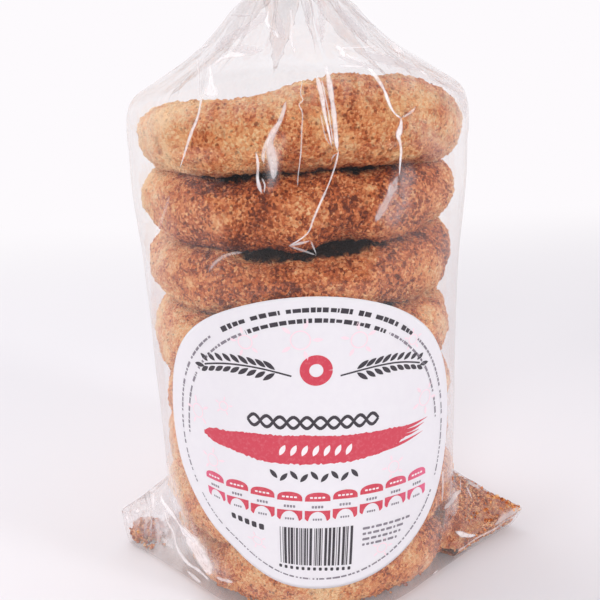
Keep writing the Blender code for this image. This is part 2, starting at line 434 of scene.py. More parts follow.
# Rings from the bottom of the stack to the top: shift to the right in mm, then where these change round the
# ring (angle in degrees, outer radius, lower height, upper height in mm, darkness of the coating from 0 to 1)
RINGS_MM = (
    (0.2, ((-95, 56.0, 0.6, 14.2, 0.20), (-45, 54.8, 0.8, 19.8, 0.26), (0, 54.6, 0.8, 20.6, 0.34),
           (45, 55.2, 0.8, 20.4, 0.46), (95, 57.0, 0.6, 14.2, 0.42), (180, 54.2, 0.6, 17.0, 0.40))),
    (-1.0, ((-112, 55.0, 15.6, 37.8, 0.36), (-92, 57.3, 14.4, 37.3, 0.18), (-66, 55.6, 18.4, 38.0, 0.20),
            (-30, 54.4, 20.8, 38.8, 0.32), (30, 54.4, 21.2, 38.8, 0.42), (66, 55.6, 19.0, 38.0, 0.44),
            (92, 57.3, 14.4, 37.4, 0.40), (112, 55.0, 15.6, 37.8, 0.38))),
    (-0.6, ((-95, 54.8, 37.5, 60.4, 0.30), (0, 54.4, 39.0, 60.8, 0.40), (95, 54.6, 37.6, 60.4, 0.36),
            (180, 54.0, 38.2, 60.5, 0.40))),
    (-0.8, ((-95, 53.8, 60.6, 78.6, 0.26), (0, 54.0, 61.0, 78.8, 0.40), (95, 54.0, 60.6, 78.5, 0.34))),
    (-2.3, ((-95, 54.6, 78.7, 106.3, 0.20), (-45, 54.6, 78.9, 104.2, 0.28), (0, 54.6, 79.0, 103.5, 0.38),
            (45, 54.6, 79.0, 104.4, 0.36), (95, 54.6, 78.5, 105.9, 0.30), (180, 54.6, 78.6, 106.0, 0.38))),
    (-1.7, ((-95, 55.1, 106.5, 131.3, 0.14), (-60, 55.1, 108.2, 129.0, 0.32), (-30, 55.1, 107.4, 129.6, 0.52),
            (-17, 55.1, 107.6, 126.1, 0.58), (0, 55.1, 108.0, 125.9, 0.60), (18, 55.1, 109.0, 125.8, 0.58),
            (32, 55.1, 110.2, 127.0, 0.56), (48, 55.1, 107.2, 129.0, 0.52), (65, 55.1, 106.2, 130.4, 0.50),
            (95, 55.1, 106.1, 131.0, 0.40), (180, 55.1, 106.2, 131.2, 0.50))),
    (-1.3, ((-95, 54.3, 131.5, 153.2, 0.00), (-74, 54.3, 130.5, 152.8, 0.00), (-60, 54.3, 129.6, 152.4, 0.30),
            (-38, 54.3, 128.9, 149.8, 0.70), (-20, 54.3, 129.8, 149.6, 0.72), (-10, 54.3, 130.6, 150.2, 0.84),
            (1, 54.3, 129.2, 150.8, 0.74), (12, 54.3, 132.4, 151.4, 0.72), (28, 54.3, 129.9, 150.0, 0.62),
            (42, 54.3, 130.5, 151.4, 0.58), (60, 54.3, 131.2, 152.8, 0.42), (95, 54.3, 131.1, 152.8, 0.34),
            (180, 54.3, 131.3, 153.0, 0.50))),
    (-0.2, ((-95, 55.7, 153.3, 172.9, 0.00), (-60, 55.7, 151.8, 173.1, 0.00), (-38, 55.7, 151.4, 173.4, 0.10),
            (-18, 55.7, 152.9, 174.2, 0.27), (-8, 55.7, 153.8, 176.0, 0.27), (2, 55.7, 154.0, 178.4, 0.27),
            (16, 55.7, 153.6, 179.4, 0.44), (32, 55.7, 153.0, 179.0, 0.40), (45, 55.7, 152.6, 178.0, 0.39),
            (62, 55.7, 151.6, 175.6, 0.32), (95, 55.7, 152.6, 173.4, 0.24), (180, 55.7, 153.2, 172.4, 0.40))),
)
TUBE_WIDTH = 0.0250
# How square the tube's section is at the sides and at the front of a ring (2 is round)
SQUARE_SIDE = 2.1
SQUARE_FRONT = 2.7
# Steps round the ring and round the outer and inner parts of its tube, for hidden and for open rings
RING_STEPS = ((420, 42, 14), (700, 52, 16))
FIRST_OPEN_RING = 5
RELIEF_BROAD = 0.0009
RELIEF_MIDDLE = 0.00070
RELIEF_GRAIN = 0.00115
RELIEF_FINE = 0.00065
GRAIN_SIZE = 0.0020
FINE_SIZE = 0.0011
PIT_SIZE = 0.0042
PIT_DEPTH = 0.0004
# Lowest height of the rings and of the bank of crumbs, just over the film's
LOWEST_CRUST = 0.0005
# How far the inner side of a ring presses into the next one, in mm
CONTACT = 0.4
COAT_PATCHES = 0.20
COAT_SPOTS = 0.17


def ring_section_angles(outer_steps, inner_steps):
    """Angles round the tube, closer together on the outer half, which shows."""
    outer = np.linspace(-1.35, 1.65, outer_steps, endpoint=False)
    inner = np.linspace(1.65, 2 * math.pi - 1.35, inner_steps, endpoint=False)
    return np.concatenate([outer, inner])


def ring_tube(number, shift, profile, a, b):
    """Points and normals of a bare ring at angles a round it and b round its squarish tube."""
    seed = 100 * number
    around = a[:, 0]
    path = np.stack([np.cos(around), np.sin(around), np.zeros_like(around)], -1)
    outer, low, high = (curve_round(profile, k, around + 0.5 * math.pi)[:, None] * MM for k in (1, 2, 3))
    wide = 1 + 0.04 * value_noise(path, 0.7, seed + 1)[:, None]
    drift = 0.0003 * value_noise(path, 0.8, seed + 3)[:, None]
    power = 2 / (SQUARE_SIDE + (SQUARE_FRONT - SQUARE_SIDE) * np.sin(a) ** 2)
    round_cos, round_sin = (np.sign(part) * np.abs(part) ** power for part in (np.cos(b), np.sin(b)))
    half_width = 0.5 * TUBE_WIDTH * wide
    middle = outer - 0.5 * TUBE_WIDTH + drift - (half_width - 0.5 * TUBE_WIDTH)
    radius = middle + half_width * round_cos
    behind = smooth_step(0.25, -0.20, np.cos(b))
    low = low + (MM * (min(point[2] for point in profile) - CONTACT) - low) * behind
    if number < len(RINGS_MM):
        high = high + (MM * (max(point[3] for point in profile) + CONTACT) - high) * behind
    z = 0.5 * (low + high) + 0.5 * (high - low) * round_sin
    points = np.stack([radius * np.cos(a) + shift * MM, radius * np.sin(a), z], -1)
    normal = np.stack([np.cos(b) * np.cos(a), np.cos(b) * np.sin(a), np.sin(b)], -1)
    return points.reshape(-1, 3), normal.reshape(-1, 3)


def ring_gap_shade(number, profile, a, b):
    """How much painted shade falls in the gap to the next ring, from 0 to 1, on the inner half of the tube
    but not in the stack's hole.
    """
    top = curve_round(profile, 3, a[:, :1] + 0.5 * math.pi)
    deep = smooth_step(2.5, 4.8, max(point[3] for point in profile) - top) * (np.sin(b) > 0)
    shift = 0.16 * deep * (number >= FIRST_OPEN_RING)
    near = smooth_step(0.30 + shift, -0.05 + shift, np.cos(b)) * smooth_step(-0.80, -0.50, np.cos(b))
    if number == len(RINGS_MM):
        near = near * (np.sin(b) < 0)
    return near.ravel()


def make_ring(number, shift, profile, material):
    """One bread ring, with grains and pits on its surface."""
    seed = 100 * number
    steps, outer_steps, inner_steps = RING_STEPS[number >= FIRST_OPEN_RING]
    around = np.linspace(0, 2 * math.pi, steps, endpoint=False)
    a, b = np.meshgrid(around, ring_section_angles(outer_steps, inner_steps), indexing="ij")
    points, normal = ring_tube(number, shift, profile, a, b)
    coating = curve_round(profile, 4, a + 0.5 * math.pi).ravel()
    uneven = COAT_PATCHES * rough_noise(points, 0.014, seed + 10)
    uneven = uneven + COAT_SPOTS * value_noise(points, 0.0048, seed + 14)
    coat = np.clip(coating + uneven, 0, 1)
    big, kind = grains(points, GRAIN_SIZE, seed + 30)
    small, _ = grains(points, FINE_SIZE, seed + 40)
    pits, _ = grains(points, PIT_SIZE, seed + 50)
    pits = smooth_step(0.35, 0.8, pits) * (hashed(np.floor(points / PIT_SIZE), seed + 51) > 0.35)
    relief = value_noise(points, 0.018, seed + 20) * RELIEF_BROAD
    relief = relief + rough_noise(points, 0.0050, seed + 21, 2) * RELIEF_MIDDLE
    relief = relief + RELIEF_GRAIN * big * (0.35 + 0.65 * coat) + RELIEF_FINE * small - PIT_DEPTH * pits
    points = points + normal * relief[:, None]
    points[:, 2] = np.maximum(points[:, 2], LOWEST_CRUST)
    ring = mesh_from_arrays(f"bread_ring_{number}", points, grid_quads(*a.shape, wrap_rows=True), material)
    add_attribute(ring, "coat", coat)
    # Painted shade of the pits and of the hollows between grains, for the crust's colour
    add_attribute(ring, "pit_shade", np.clip(0.8 * pits + 0.5 * (0.25 - big), 0, 1))
    # Painted shade for the gaps between rings
    add_attribute(ring, "gap_shade", ring_gap_shade(number, profile, a, b))
    add_attribute(ring, "tone", value_noise(points, 0.011, seed + 60) + 0.5 * (kind - 0.5))
    return ring


def make_rings():
    """The stack, one piece for each ring."""
    material = crust_material()
    for number, (shift, profile) in enumerate(RINGS_MM, 1):
        ring = make_ring(number, shift, profile, material)
        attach(ring, "root")
        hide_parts("bag")


make_rings()


# The film's shoulder and frill as (height, radius)
SHOULDER = (
    (0.1705, 0.0572),
    (0.1750, 0.0548),
    (0.1790, 0.0485),
    (0.1885, 0.0335),
    (0.1960, 0.0255),
    (0.2050, 0.0165),
)
FRILL = ((0.2195, 0.0112), (0.2300, 0.0190))
MOUTH_FLATNESS = 0.18
CORNER_FORWARD = 0.0060
CORNER_FALL = 2.15
CORNER_THINNING = 1.25
CORNER_HALF_ANGLE = math.radians(24.0)
FOOT_SPREAD = math.radians(24.0)
FOOT_FORWARD = 0.0030
FOOT_FILLING = 0.20
FOOT_SPREAD_Z = 0.0300
TOP_WIDENING = 0.018
LOWEST_FILM = 0.0002
FILM_WAVE = 0.00055
FILM_WAVE_SIZE = 0.017
MOUTH_RIPPLE = 0.0022
# Radius at which places on the film are laid out flat for its noise
UNROLL_RADIUS = 0.057
# Side, reach, height of the tip, height where it meets the body and share of the reach at the floor
CORNERS = ((-1, 0.0795, 0.0150, 0.0365, 0.90), (1, 0.0850, 0.0095, 0.0305, 0.80))


def bag_radius(z):
    """The film's mean distance from the axis at each height."""
    z = np.asarray(z, float)
    under = np.clip(1 - z / BASE_EDGE_HEIGHT, 0, 1)
    foot = BASE_RADIUS + (WAIST_RADIUS - BASE_RADIUS) * np.sqrt(1 - under ** 2)
    body = WAIST_RADIUS + (BODY_RADIUS - WAIST_RADIUS) * smooth_step(WAIST_TOP_Z, BODY_TOP_Z, z)
    low, high = NECK_Z - NECK_HEIGHT / 2, NECK_Z + NECK_HEIGHT / 2
    shoulder = curve_through(((BODY_TOP_Z, BODY_RADIUS),) + SHOULDER + ((low, NECK_RADIUS),), z)
    frill = curve_through(((high, NECK_RADIUS),) + FRILL + ((MOUTH_Z, MOUTH_RADIUS),), z)
    upper = np.where(z < low, shoulder, np.where(z <= high, NECK_RADIUS, frill))
    return np.where(z < BASE_EDGE_HEIGHT, foot, np.where(z < BODY_TOP_Z, body, upper))


def axis_shift(z):
    """How far the bag's middle line stands to the right at each height."""
    lower = BODY_SHIFT * (1 - smooth_step(WAIST_TOP_Z, BODY_TOP_Z, z))
    return lower + NECK_SHIFT * smooth_step(BODY_TOP_Z, NECK_Z, z)


def corner_half_angle(z):
    """Half the angle that a bottom corner takes up at each height, wider towards the floor."""
    return CORNER_HALF_ANGLE + FOOT_SPREAD * np.maximum(0.0, 1 - z / FOOT_SPREAD_Z) ** 2


def zigzag(turns):
    """A wave with straight sides and sharp tops, from -1 to 1."""
    return 4 * np.abs(turns - np.floor(turns) - 0.5) - 1


# Folds round the gathered shoulder: how many, where they start round it, how deep they are, and the
# heights between which they grow
GATHERS = (
    (7, 0.2, 0.13, None),
    (13, 0.6, 0.10, (0.1750, 0.1950)),
    (23, 0.1, 0.07, (0.1850, 0.2050)),
)


def gather(angle, z):
    """How far the gathered folds of shoulder and frill stand out from the mean radius, in metres."""
    circle = np.stack([np.cos(angle), np.sin(angle), 12 * z], -1).reshape(-1, 3)
    turn = angle / (2 * math.pi) + 0.10 * value_noise(circle, 0.7, 7).reshape(angle.shape)
    folds = 0.0
    for count, start, depth, grow in GATHERS:
        fold = zigzag(count * turn + start) * depth
        folds = folds + (fold if grow is None else fold * smooth_step(*grow, z))
    uneven = 0.6 + 0.8 * np.abs(value_noise(circle, 0.5, 9).reshape(angle.shape))
    folds = folds * uneven * bag_radius(z) * smooth_step(0.1690, 0.2080, z)
    tied = smooth_step(0.0045, 0.0015, np.abs(z - NECK_Z))
    return folds * (1 - 0.75 * tied)


def corner_rise(corner, z):
    """How much of a corner's reach is there at each height, from 0 to 1."""
    tip_z, top_z, foot_share = corner[2:]
    falling = np.clip((top_z - z) / (top_z - tip_z), 0, 1) ** CORNER_FALL
    rising = foot_share + (1 - foot_share) * np.sin(0.5 * math.pi * np.clip(z / tip_z, 0, 1))
    return np.where(z > tip_z, falling, rising)


def widening(z):
    """How much wider from side to side than from front to back the film is near its top."""
    return 1 + TOP_WIDENING * smooth_step(0.115, 0.150, z) * smooth_step(0.200, 0.178, z)


def film_form(angle, z):
    """The film's broad form as arrays of x and y, for angles from the front and heights."""
    radius = bag_radius(z) + gather(angle, z)
    flat = MOUTH_FLATNESS * smooth_step(NECK_Z, MOUTH_Z, z)
    x = radius * (1 + flat) * widening(z) * np.sin(angle) + axis_shift(z)
    y = -radius * (1 - flat) * np.cos(angle)
    half_angle = corner_half_angle(z)
    for corner in CORNERS:
        side, reach = corner[:2]
        offset = (angle - side * 0.5 * math.pi + math.pi) % (2 * math.pi) - math.pi
        near = np.abs(offset) < half_angle
        rise = corner_rise(corner, z)
        along = np.clip(1 - np.abs(offset) / half_angle, 0, 1)
        root = bag_radius(z)
        root_x = root * np.cos(half_angle)
        tip_x = BODY_RADIUS + (reach - BODY_RADIUS) * rise
        corner_x = side * (root_x + (tip_x - root_x) * along) + axis_shift(z) * (1 - along)
        foot = smooth_step(0.020, 0.0, z)
        corner_y = root * np.sin(half_angle) * (1 - along) ** (CORNER_THINNING - FOOT_FILLING * foot)
        corner_y = np.copysign(corner_y, offset) * side
        corner_y = corner_y - (CORNER_FORWARD + FOOT_FORWARD * foot) * along * rise
        share = np.where(near, smooth_step(0.0, 0.35, rise), 0.0)
        x = x + (corner_x - x) * share
        y = y + (corner_y - y) * share
    return x, y


def sway(angle, z):
    """Slow waves of the film's wall, which the label shares, in metres."""
    flat = np.stack([angle * UNROLL_RADIUS, 0.45 * z, np.zeros_like(z)], -1).reshape(-1, 3)
    wave = value_noise(flat, 0.011, 21) * 0.00022 + value_noise(flat, 0.024, 22) * 0.00035
    return wave.reshape(angle.shape) * smooth_step(0.0, 0.02, z)


def facets(points, size, seed):
    """Flat-sided bumps like those of crumpled film: sharp between cells, level inside them."""
    value = np.zeros(len(points))
    for k, turn in enumerate((0.3, 1.4, 2.5)):
        line = points[:, 0] * math.cos(turn) + points[:, 1] * math.sin(turn)
        wander = value_noise(points, size * 2.2, seed + k) * 0.9
        value = value + zigzag(line / (size * 2) + wander) / 3
    return value


# Settling of the gathered shoulder, in mm: rows of film from a fixed edge on the body up to the neck
SETTLE_FROM_Z = 158.0
SETTLE_RADIUS = 57.7
SETTLE_SLACK = 1.015
SETTLE_ROWS = 23
SETTLE_COLUMNS = 100
# For the coarse grid and each finer one: steps, rounds in each, and how far the points are shaken first
SETTLE_LEVELS = ((160, 6, 0.4), (40, 6, 0.10), (20, 5, 0.10))
NECK_HOLD = 7.0
FOLD_STIFFNESS = 0.10
# How far the film is blown up and outwards in each round
PUFF_UP = 0.010
PUFF_OUT = 0.0008
HULL_FRONT_RISE = 8.0
CROWN_CLEARANCE = 1.2


def meridian():
    """Heights and lengths along the shoulder's mean outline, in mm, from the fixed edge to the neck."""
    z = np.linspace(SETTLE_FROM_Z, NECK_Z / MM, 400)
    r = bag_radius(z * MM) / MM
    length = np.concatenate([[0], np.cumsum(np.hypot(np.diff(z), np.diff(r)))])
    return z, r, length


def pair_groups(rows, columns, across, up):
    """Pairs of film points with their rest lengths and stiffness, in groups that share no point."""
    number = np.arange(rows * columns).reshape(rows, columns)
    groups = []

    def add(first, second, rest, stiffness=1.0):
        groups.append((first.ravel(), second.ravel(), rest, stiffness))

    for k in (0, 1):
        add(number[:, k::2], np.roll(number, -1, 1)[:, k::2], across)
        low, high = number[k:-1:2], number[k + 1::2]
        low = low[:len(high)]
        add(low, high, up)
        for side in (-1, 1):
            add(low, np.roll(high, side, 1), math.hypot(across, up), 0.7)
        pick = np.concatenate([np.arange(2 * k + j, columns, 4) for j in (0, 1)])
        add(number[:, pick], np.roll(number, -2, 1)[:, pick], 2 * across, FOLD_STIFFNESS)
        pick = np.concatenate([np.arange(2 * k + j, rows - 2, 4) for j in (0, 1)])
        add(number[pick], number[pick + 2], 2 * up, FOLD_STIFFNESS)
    return groups


def keep_outside(points, hull_z, hull_r):
    """Holds film points inside the bag's outline and off the top ring."""
    radius = np.hypot(points[:, 0], points[:, 1])
    front = np.abs(points[:, 1]) / np.maximum(radius, 1e-6)
    limit = np.interp(points[:, 2] - HULL_FRONT_RISE * front ** 2, hull_z, hull_r)
    squeeze = np.minimum(1.0, limit / np.maximum(radius, 1e-6))
    points[:, :2] *= squeeze[:, None]
    radius = radius * squeeze
    profile = RINGS_MM[-1][1]
    step = np.linspace(0, 2 * math.pi, 181)
    angle = np.arctan2(points[:, 0], -points[:, 1]) % (2 * math.pi)
    outer, low, high = (np.interp(angle, step, curve_round(profile, k, step)) for k in (1, 2, 3))
    half_width = 0.5 * TUBE_WIDTH / MM + CROWN_CLEARANCE
    half_height = 0.5 * (high - low) + CROWN_CLEARANCE
    middle_z = 0.5 * (low + high)
    across = (radius - (outer - 0.5 * TUBE_WIDTH / MM)) / half_width
    up = (points[:, 2] - middle_z) / half_height
    depth = np.sqrt(across ** 2 + up ** 2)
    inside = (depth < 1.0) & (points[:, 2] > middle_z - 2)
    push = np.where(inside, 1.0 / np.maximum(depth, 0.2) - 1.0, 0.0)
    points[:, 2] += push * up * half_height
    outward = 1.0 + push * across * half_width / np.maximum(radius, 1e-6)
    points[:, :2] *= outward[:, None]


def relax(points, free, groups, rounds, hull_z, hull_r):
    """Brings the film back to its own lengths, again and again."""
    for _ in range(rounds):
        points[:, 2] += PUFF_UP * free
        points[:, :2] *= 1 + (PUFF_OUT * free)[:, None]
        for first, second, rest, stiffness in groups:
            apart = points[second] - points[first]
            length = np.sqrt(np.einsum("ij,ij->i", apart, apart))
            weight = free[first] + free[second]
            pull = stiffness * (length - rest) / np.maximum(length * weight, 1e-9)
            pull = np.where(weight > 0, pull, 0.0)[:, None] * apart
            points[first] += free[first][:, None] * pull
            points[second] -= free[second][:, None] * pull
        held = points.copy()
        keep_outside(points, hull_z, hull_r)
        points[free == 0] = held[free == 0]


def draw_in_neck(points, rows_held, share, start_z):
    """Moves the upper edge of the shoulder's film a share of the way into the neck."""
    hold = SETTLE_RADIUS + (NECK_HOLD - SETTLE_RADIUS) * share
    height = start_z + (NECK_Z / MM - start_z) * share
    last = points[-rows_held:]
    wide = np.hypot(last[..., 0] - NECK_SHIFT / MM * share, last[..., 1])
    last[..., :2] *= np.minimum(1.0, hold / np.maximum(wide, 1e-6))[..., None]
    last[-1, :, 2] += (height - last[-1, :, 2]) * 0.9


def settled_shoulder():
    """The shoulder's film as a grid of points in mm: drawn in at the neck, then refined twice."""
    line_z, line_r, line_length = meridian()
    total = line_length[-1] * SETTLE_SLACK
    top_z = SETTLE_FROM_Z + total
    hull_z = np.append(line_z, 400.0)
    hull_r = np.append(line_r + 0.3, line_r[-1])
    draw = np.random.default_rng(31)
    rows, columns = SETTLE_ROWS, SETTLE_COLUMNS
    angle = np.arange(columns) * 2 * math.pi / columns
    heights = np.linspace(0, total, rows)[:, None] + SETTLE_FROM_Z
    x, y = SETTLE_RADIUS * np.sin(angle)[None, :], -SETTLE_RADIUS * np.cos(angle)[None, :]
    grid = np.stack(np.broadcast_arrays(x, y, heights), -1).copy()
    for level, (steps, rounds, shake) in enumerate(SETTLE_LEVELS):
        if level > 0:
            grid = refined(grid)
            rows, columns = grid.shape[:2]
            angle = np.arange(columns) * 2 * math.pi / columns
        grid[2:] += draw.normal(0, shake, grid[2:].shape)
        up = total / (rows - 1)
        groups = pair_groups(rows, columns, 2 * math.pi * SETTLE_RADIUS / columns, up)
        free = np.ones((rows, columns))
        free[:2] = 0
        fixed_r = bag_radius(np.linspace(SETTLE_FROM_Z, SETTLE_FROM_Z + up, 2) * MM) / MM
        for k in range(2):
            height = np.full(columns, SETTLE_FROM_Z + k * up)
            grid[k] = np.stack([fixed_r[k] * np.sin(angle), -fixed_r[k] * np.cos(angle), height], -1)
        for step in range(steps):
            share = (step + 1) / steps if level == 0 else 1.0
            draw_in_neck(grid, max(1, round(2.0 / up)), share, top_z)
            wide_hull = np.maximum(hull_r, SETTLE_RADIUS + (hull_r - SETTLE_RADIUS) * share)
            relax(grid.reshape(-1, 3), free.ravel(), groups, rounds, hull_z, wide_hull)
    return grid


def refined(grid):
    """A grid with a point added between each two, along and across."""
    between = (9 * (grid + np.roll(grid, -1, 1)) - np.roll(grid, 1, 1) - np.roll(grid, -2, 1)) / 16
    wide = np.stack([grid, between], 2).reshape(grid.shape[0], -1, 3)
    middle = 0.5 * (wide[1:] + wide[:-1])
    middle[1:-1] = (9 * (wide[1:-2] + wide[2:-1]) - wide[:-3] - wide[3:]) / 16
    tall = np.empty((2 * wide.shape[0] - 1,) + wide.shape[1:])
    tall[0::2], tall[1::2] = wide, middle
    return tall


def with_shoulder(points, angle, z):
    """The film's points with the settled shoulder put in between the body and the neck."""
    shoulder = settled_shoulder() * MM
    rows, columns = shoulder.shape[:2]
    line_z, _, line_length = meridian()
    share = np.interp(z / MM, line_z, line_length) / line_length[-1]
    row = np.clip(share * (rows - 1), 0, rows - 1.001)
    column = (angle / (2 * math.pi) * columns) % columns
    i, j = np.floor(row).astype(int), np.floor(column).astype(int) % columns
    u, v = (row - i)[..., None], (column - np.floor(column))[..., None]
    j2 = (j + 1) % columns
    low = shoulder[i, j] * (1 - v) + shoulder[i, j2] * v
    high = shoulder[i + 1, j] * (1 - v) + shoulder[i + 1, j2] * v
    settled = low * (1 - u) + high * u
    settled[..., 0] *= widening(settled[..., 2])
    inside = smooth_step(SETTLE_FROM_Z * MM, SETTLE_FROM_Z * MM + 0.003, z) * (z < NECK_Z)
    above = np.clip((z - NECK_Z) / 0.012, 0, 1)[..., None]
    below_neck = np.argmax(z[:, 0] >= NECK_Z) - 1
    offset = settled[below_neck] - points[below_neck]
    frill = points + offset[None] * (1 - smooth_step(0, 1, above)) * [1, 1, 0]
    out = points + (settled - points) * inside[..., None]
    return np.where((z >= NECK_Z)[..., None], frill, out)


def ear_share(x, y, z):
    """1 on the bag's bottom corners, 0 on its round body."""
    return smooth_step(0.0585, 0.0625, np.hypot(x, y)) * smooth_step(0.05, 0.04, z)


# Heights between which the film has a number of rows, more where it is folded
ROW_SPANS = (
    (0.0002, 0.0080, 9),
    (0.0080, 0.0500, 44),
    (0.0500, 0.1600, 72),
    (0.1600, 0.2115, 76),
    (0.2115, 0.2165, 5),
    (0.2165, MOUTH_Z, 30),
)
# Angles between which the film has a number of columns, more on the front
COLUMN_SPANS = ((-1.75, 1.75, 300), (1.75, 2 * math.pi - 1.75, 100))
# Half width and half height of the oval behind the label, where the film isn't crumpled
SMOOTH_OVAL = (0.0600, 0.0555)
CRUMPLE_SIZE = 0.0085
# How deep the film is crumpled on its body, and how much deeper on its shoulders and its corners
BODY_CRUMPLE = 0.00003
SHOULDER_CRUMPLE = 0.00075
EAR_CRUMPLE = 0.0007


def places_in(spans):
    """Evenly spaced places in each of a few (from, to, count) spans that follow on each other."""
    return np.concatenate([np.linspace(low, high, count, endpoint=False) for low, high, count in spans])


def film_grid():
    """The film's points as rows of columns, and the angle and height of each."""
    z, angle = np.meshgrid(np.append(places_in(ROW_SPANS), MOUTH_Z), places_in(COLUMN_SPANS), indexing="ij")
    angle = (angle + math.pi) % (2 * math.pi) - math.pi
    x, y = film_form(angle, z)
    points = with_shoulder(np.stack([x, y, z], -1), angle, z)
    across = np.roll(points, -1, 1) - np.roll(points, 1, 1)
    normal = np.cross(across, np.gradient(points, axis=0))
    normal = normal / np.maximum(np.linalg.norm(normal, axis=-1, keepdims=True), 1e-12)
    flat = np.stack([angle * UNROLL_RADIUS, z, np.zeros_like(z)], -1).reshape(-1, 3)
    across_label = (angle * WAIST_RADIUS + BODY_SHIFT) / SMOOTH_OVAL[0]
    up_label = (z - LABEL_MID_Z) / SMOOTH_OVAL[1]
    free = smooth_step(0.93, 1.06, across_label ** 2 + up_label ** 2)
    body = smooth_step(0.0, 0.006, z) * smooth_step(0.2125, 0.2100, z)
    crumple = facets(flat, CRUMPLE_SIZE, 40).reshape(z.shape)
    shoulders = smooth_step(0.172, 0.186, z) * smooth_step(0.2115, 0.2060, z)
    slack = BODY_CRUMPLE + SHOULDER_CRUMPLE * shoulders + EAR_CRUMPLE * ear_share(x, y, z)
    loose = value_noise(flat * [1.0, 0.6, 1.0], FILM_WAVE_SIZE, 71).reshape(z.shape) * FILM_WAVE
    lift = (slack * crumple + loose) * free * body + sway(angle, z)
    lift = lift * smooth_step(0.0, 0.004, z)
    points = points + normal * lift[..., None]
    circle = np.stack([np.sin(angle), np.cos(angle), 0 * z], -1).reshape(-1, 3)
    ripple = value_noise(circle, 0.35, 61).reshape(z.shape)
    points[..., 2] += MOUTH_RIPPLE * ripple * smooth_step(0.235, MOUTH_Z, z)
    points[..., 2] = np.maximum(points[..., 2], LOWEST_FILM)
    return points, angle, z


# Soft highlights painted on the film's front as milky places: strength, half-width in mm, then (x, z) points
# in mm
PAINTED_SOFT_HIGHLIGHTS = (
    (0.10, 7.0, ((34.4, 165.6), (42.9, 156.1))),
    (0.05, 6.0, ((-45.1, 163.9), (-45.7, 155.7))),
    (0.17, 6.5, ((30.2, 150.2), (27.0, 139.9))),
    (0.09, 8.0, ((-54.0, 166.0), (-40.0, 171.0), (-15.0, 173.0), (5.0, 177.0), (25.0, 178.5), (50.0, 174.0))),
    (0.07, 6.0, ((-44.0, 145.1), (-42.3, 134.3), (-46.9, 124.4))),
    (0.16, 3.2, ((-5.5, 162.9), (-7.8, 156.2), (-8.7, 150.7))),
    (0.22, 9.5, ((-52.8, 37.0), (-47.3, 25.8), (-36.9, 14.9))),
    (0.05, 5.0, ((-55.5, 51.5), (-54.5, 36.4))),
    (0.28, 11.0, ((-74.0, 15.0), (-62.1, 13.5), (-56.0, 14.0))),
    (0.10, 5.5, ((54.0, 31.9), (50.6, 16.6))),
    (0.08, 6.0, ((41.4, 8.9), (29.0, 4.7))),
    (0.05, 5.0, ((-23.6, 11.8), (0.4, 9.6))),
)
SHOULDER_VEIL = 0.06
EAR_VEIL = 0.14


def distance_to(route, x, z):
    """How far places on the film's front are from a route of (x, z) points, seen from the front, in mm."""
    nearest = np.full(x.shape, 99.0)
    for (x0, z0), (x1, z1) in zip(route, route[1:]):
        length = math.hypot(x1 - x0, z1 - z0)
        t = np.clip(((x - x0) * (x1 - x0) + (z - z0) * (z1 - z0)) / length ** 2, 0, 1)
        nearest = np.minimum(nearest, np.hypot(x - x0 - t * (x1 - x0), z - z0 - t * (z1 - z0)))
    return nearest


def film_milk_and_sheen(points, angle, z):
    """How milky the film looks at each point over its plain haze: painted soft highlights on its front, and a
    mottled milkiness on its shoulders and corners.
    """
    x, y, height = np.moveaxis(points, -1, 0)
    front = smooth_step(0.004, -0.004, y)
    milk_and_sheen = np.zeros_like(z)
    for strength, half_width, route in PAINTED_SOFT_HIGHLIGHTS:
        milk_and_sheen = milk_and_sheen + strength * smooth_step(half_width, 0.0, distance_to(route, x / MM, height / MM)) * front
    flat = np.stack([angle * BODY_RADIUS / MM, z / MM, 0 * z], -1).reshape(-1, 3)
    cloud = 0.5 + 0.5 * rough_noise(flat, 14.0, 81).reshape(z.shape)
    shoulders = smooth_step(0.168, 0.178, z) * smooth_step(0.2300, 0.2100, z)
    milk_and_sheen = milk_and_sheen + cloud * (SHOULDER_VEIL * shoulders + EAR_VEIL * ear_share(x, y, z))
    return np.clip(milk_and_sheen, 0, 1).ravel()


def make_film():
    """The bag: a thin open sheet from the base to the mouth."""
    points, angle, z = film_grid()
    rows, columns = z.shape
    middle = [[BODY_SHIFT, 0.0, LOWEST_FILM]]
    flat = np.vstack([points.reshape(-1, 3), middle])
    rim = np.arange(columns)
    base = np.stack([np.roll(rim, -1), rim, np.full(columns, rows * columns)], -1)
    film = mesh_from_arrays("film", flat, grid_quads(rows, columns), film_material(), base)
    add_attribute(film, "milk_and_sheen", np.append(film_milk_and_sheen(points, angle, z), 0.0))
    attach(film, "root")
    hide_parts("bag")
    return film
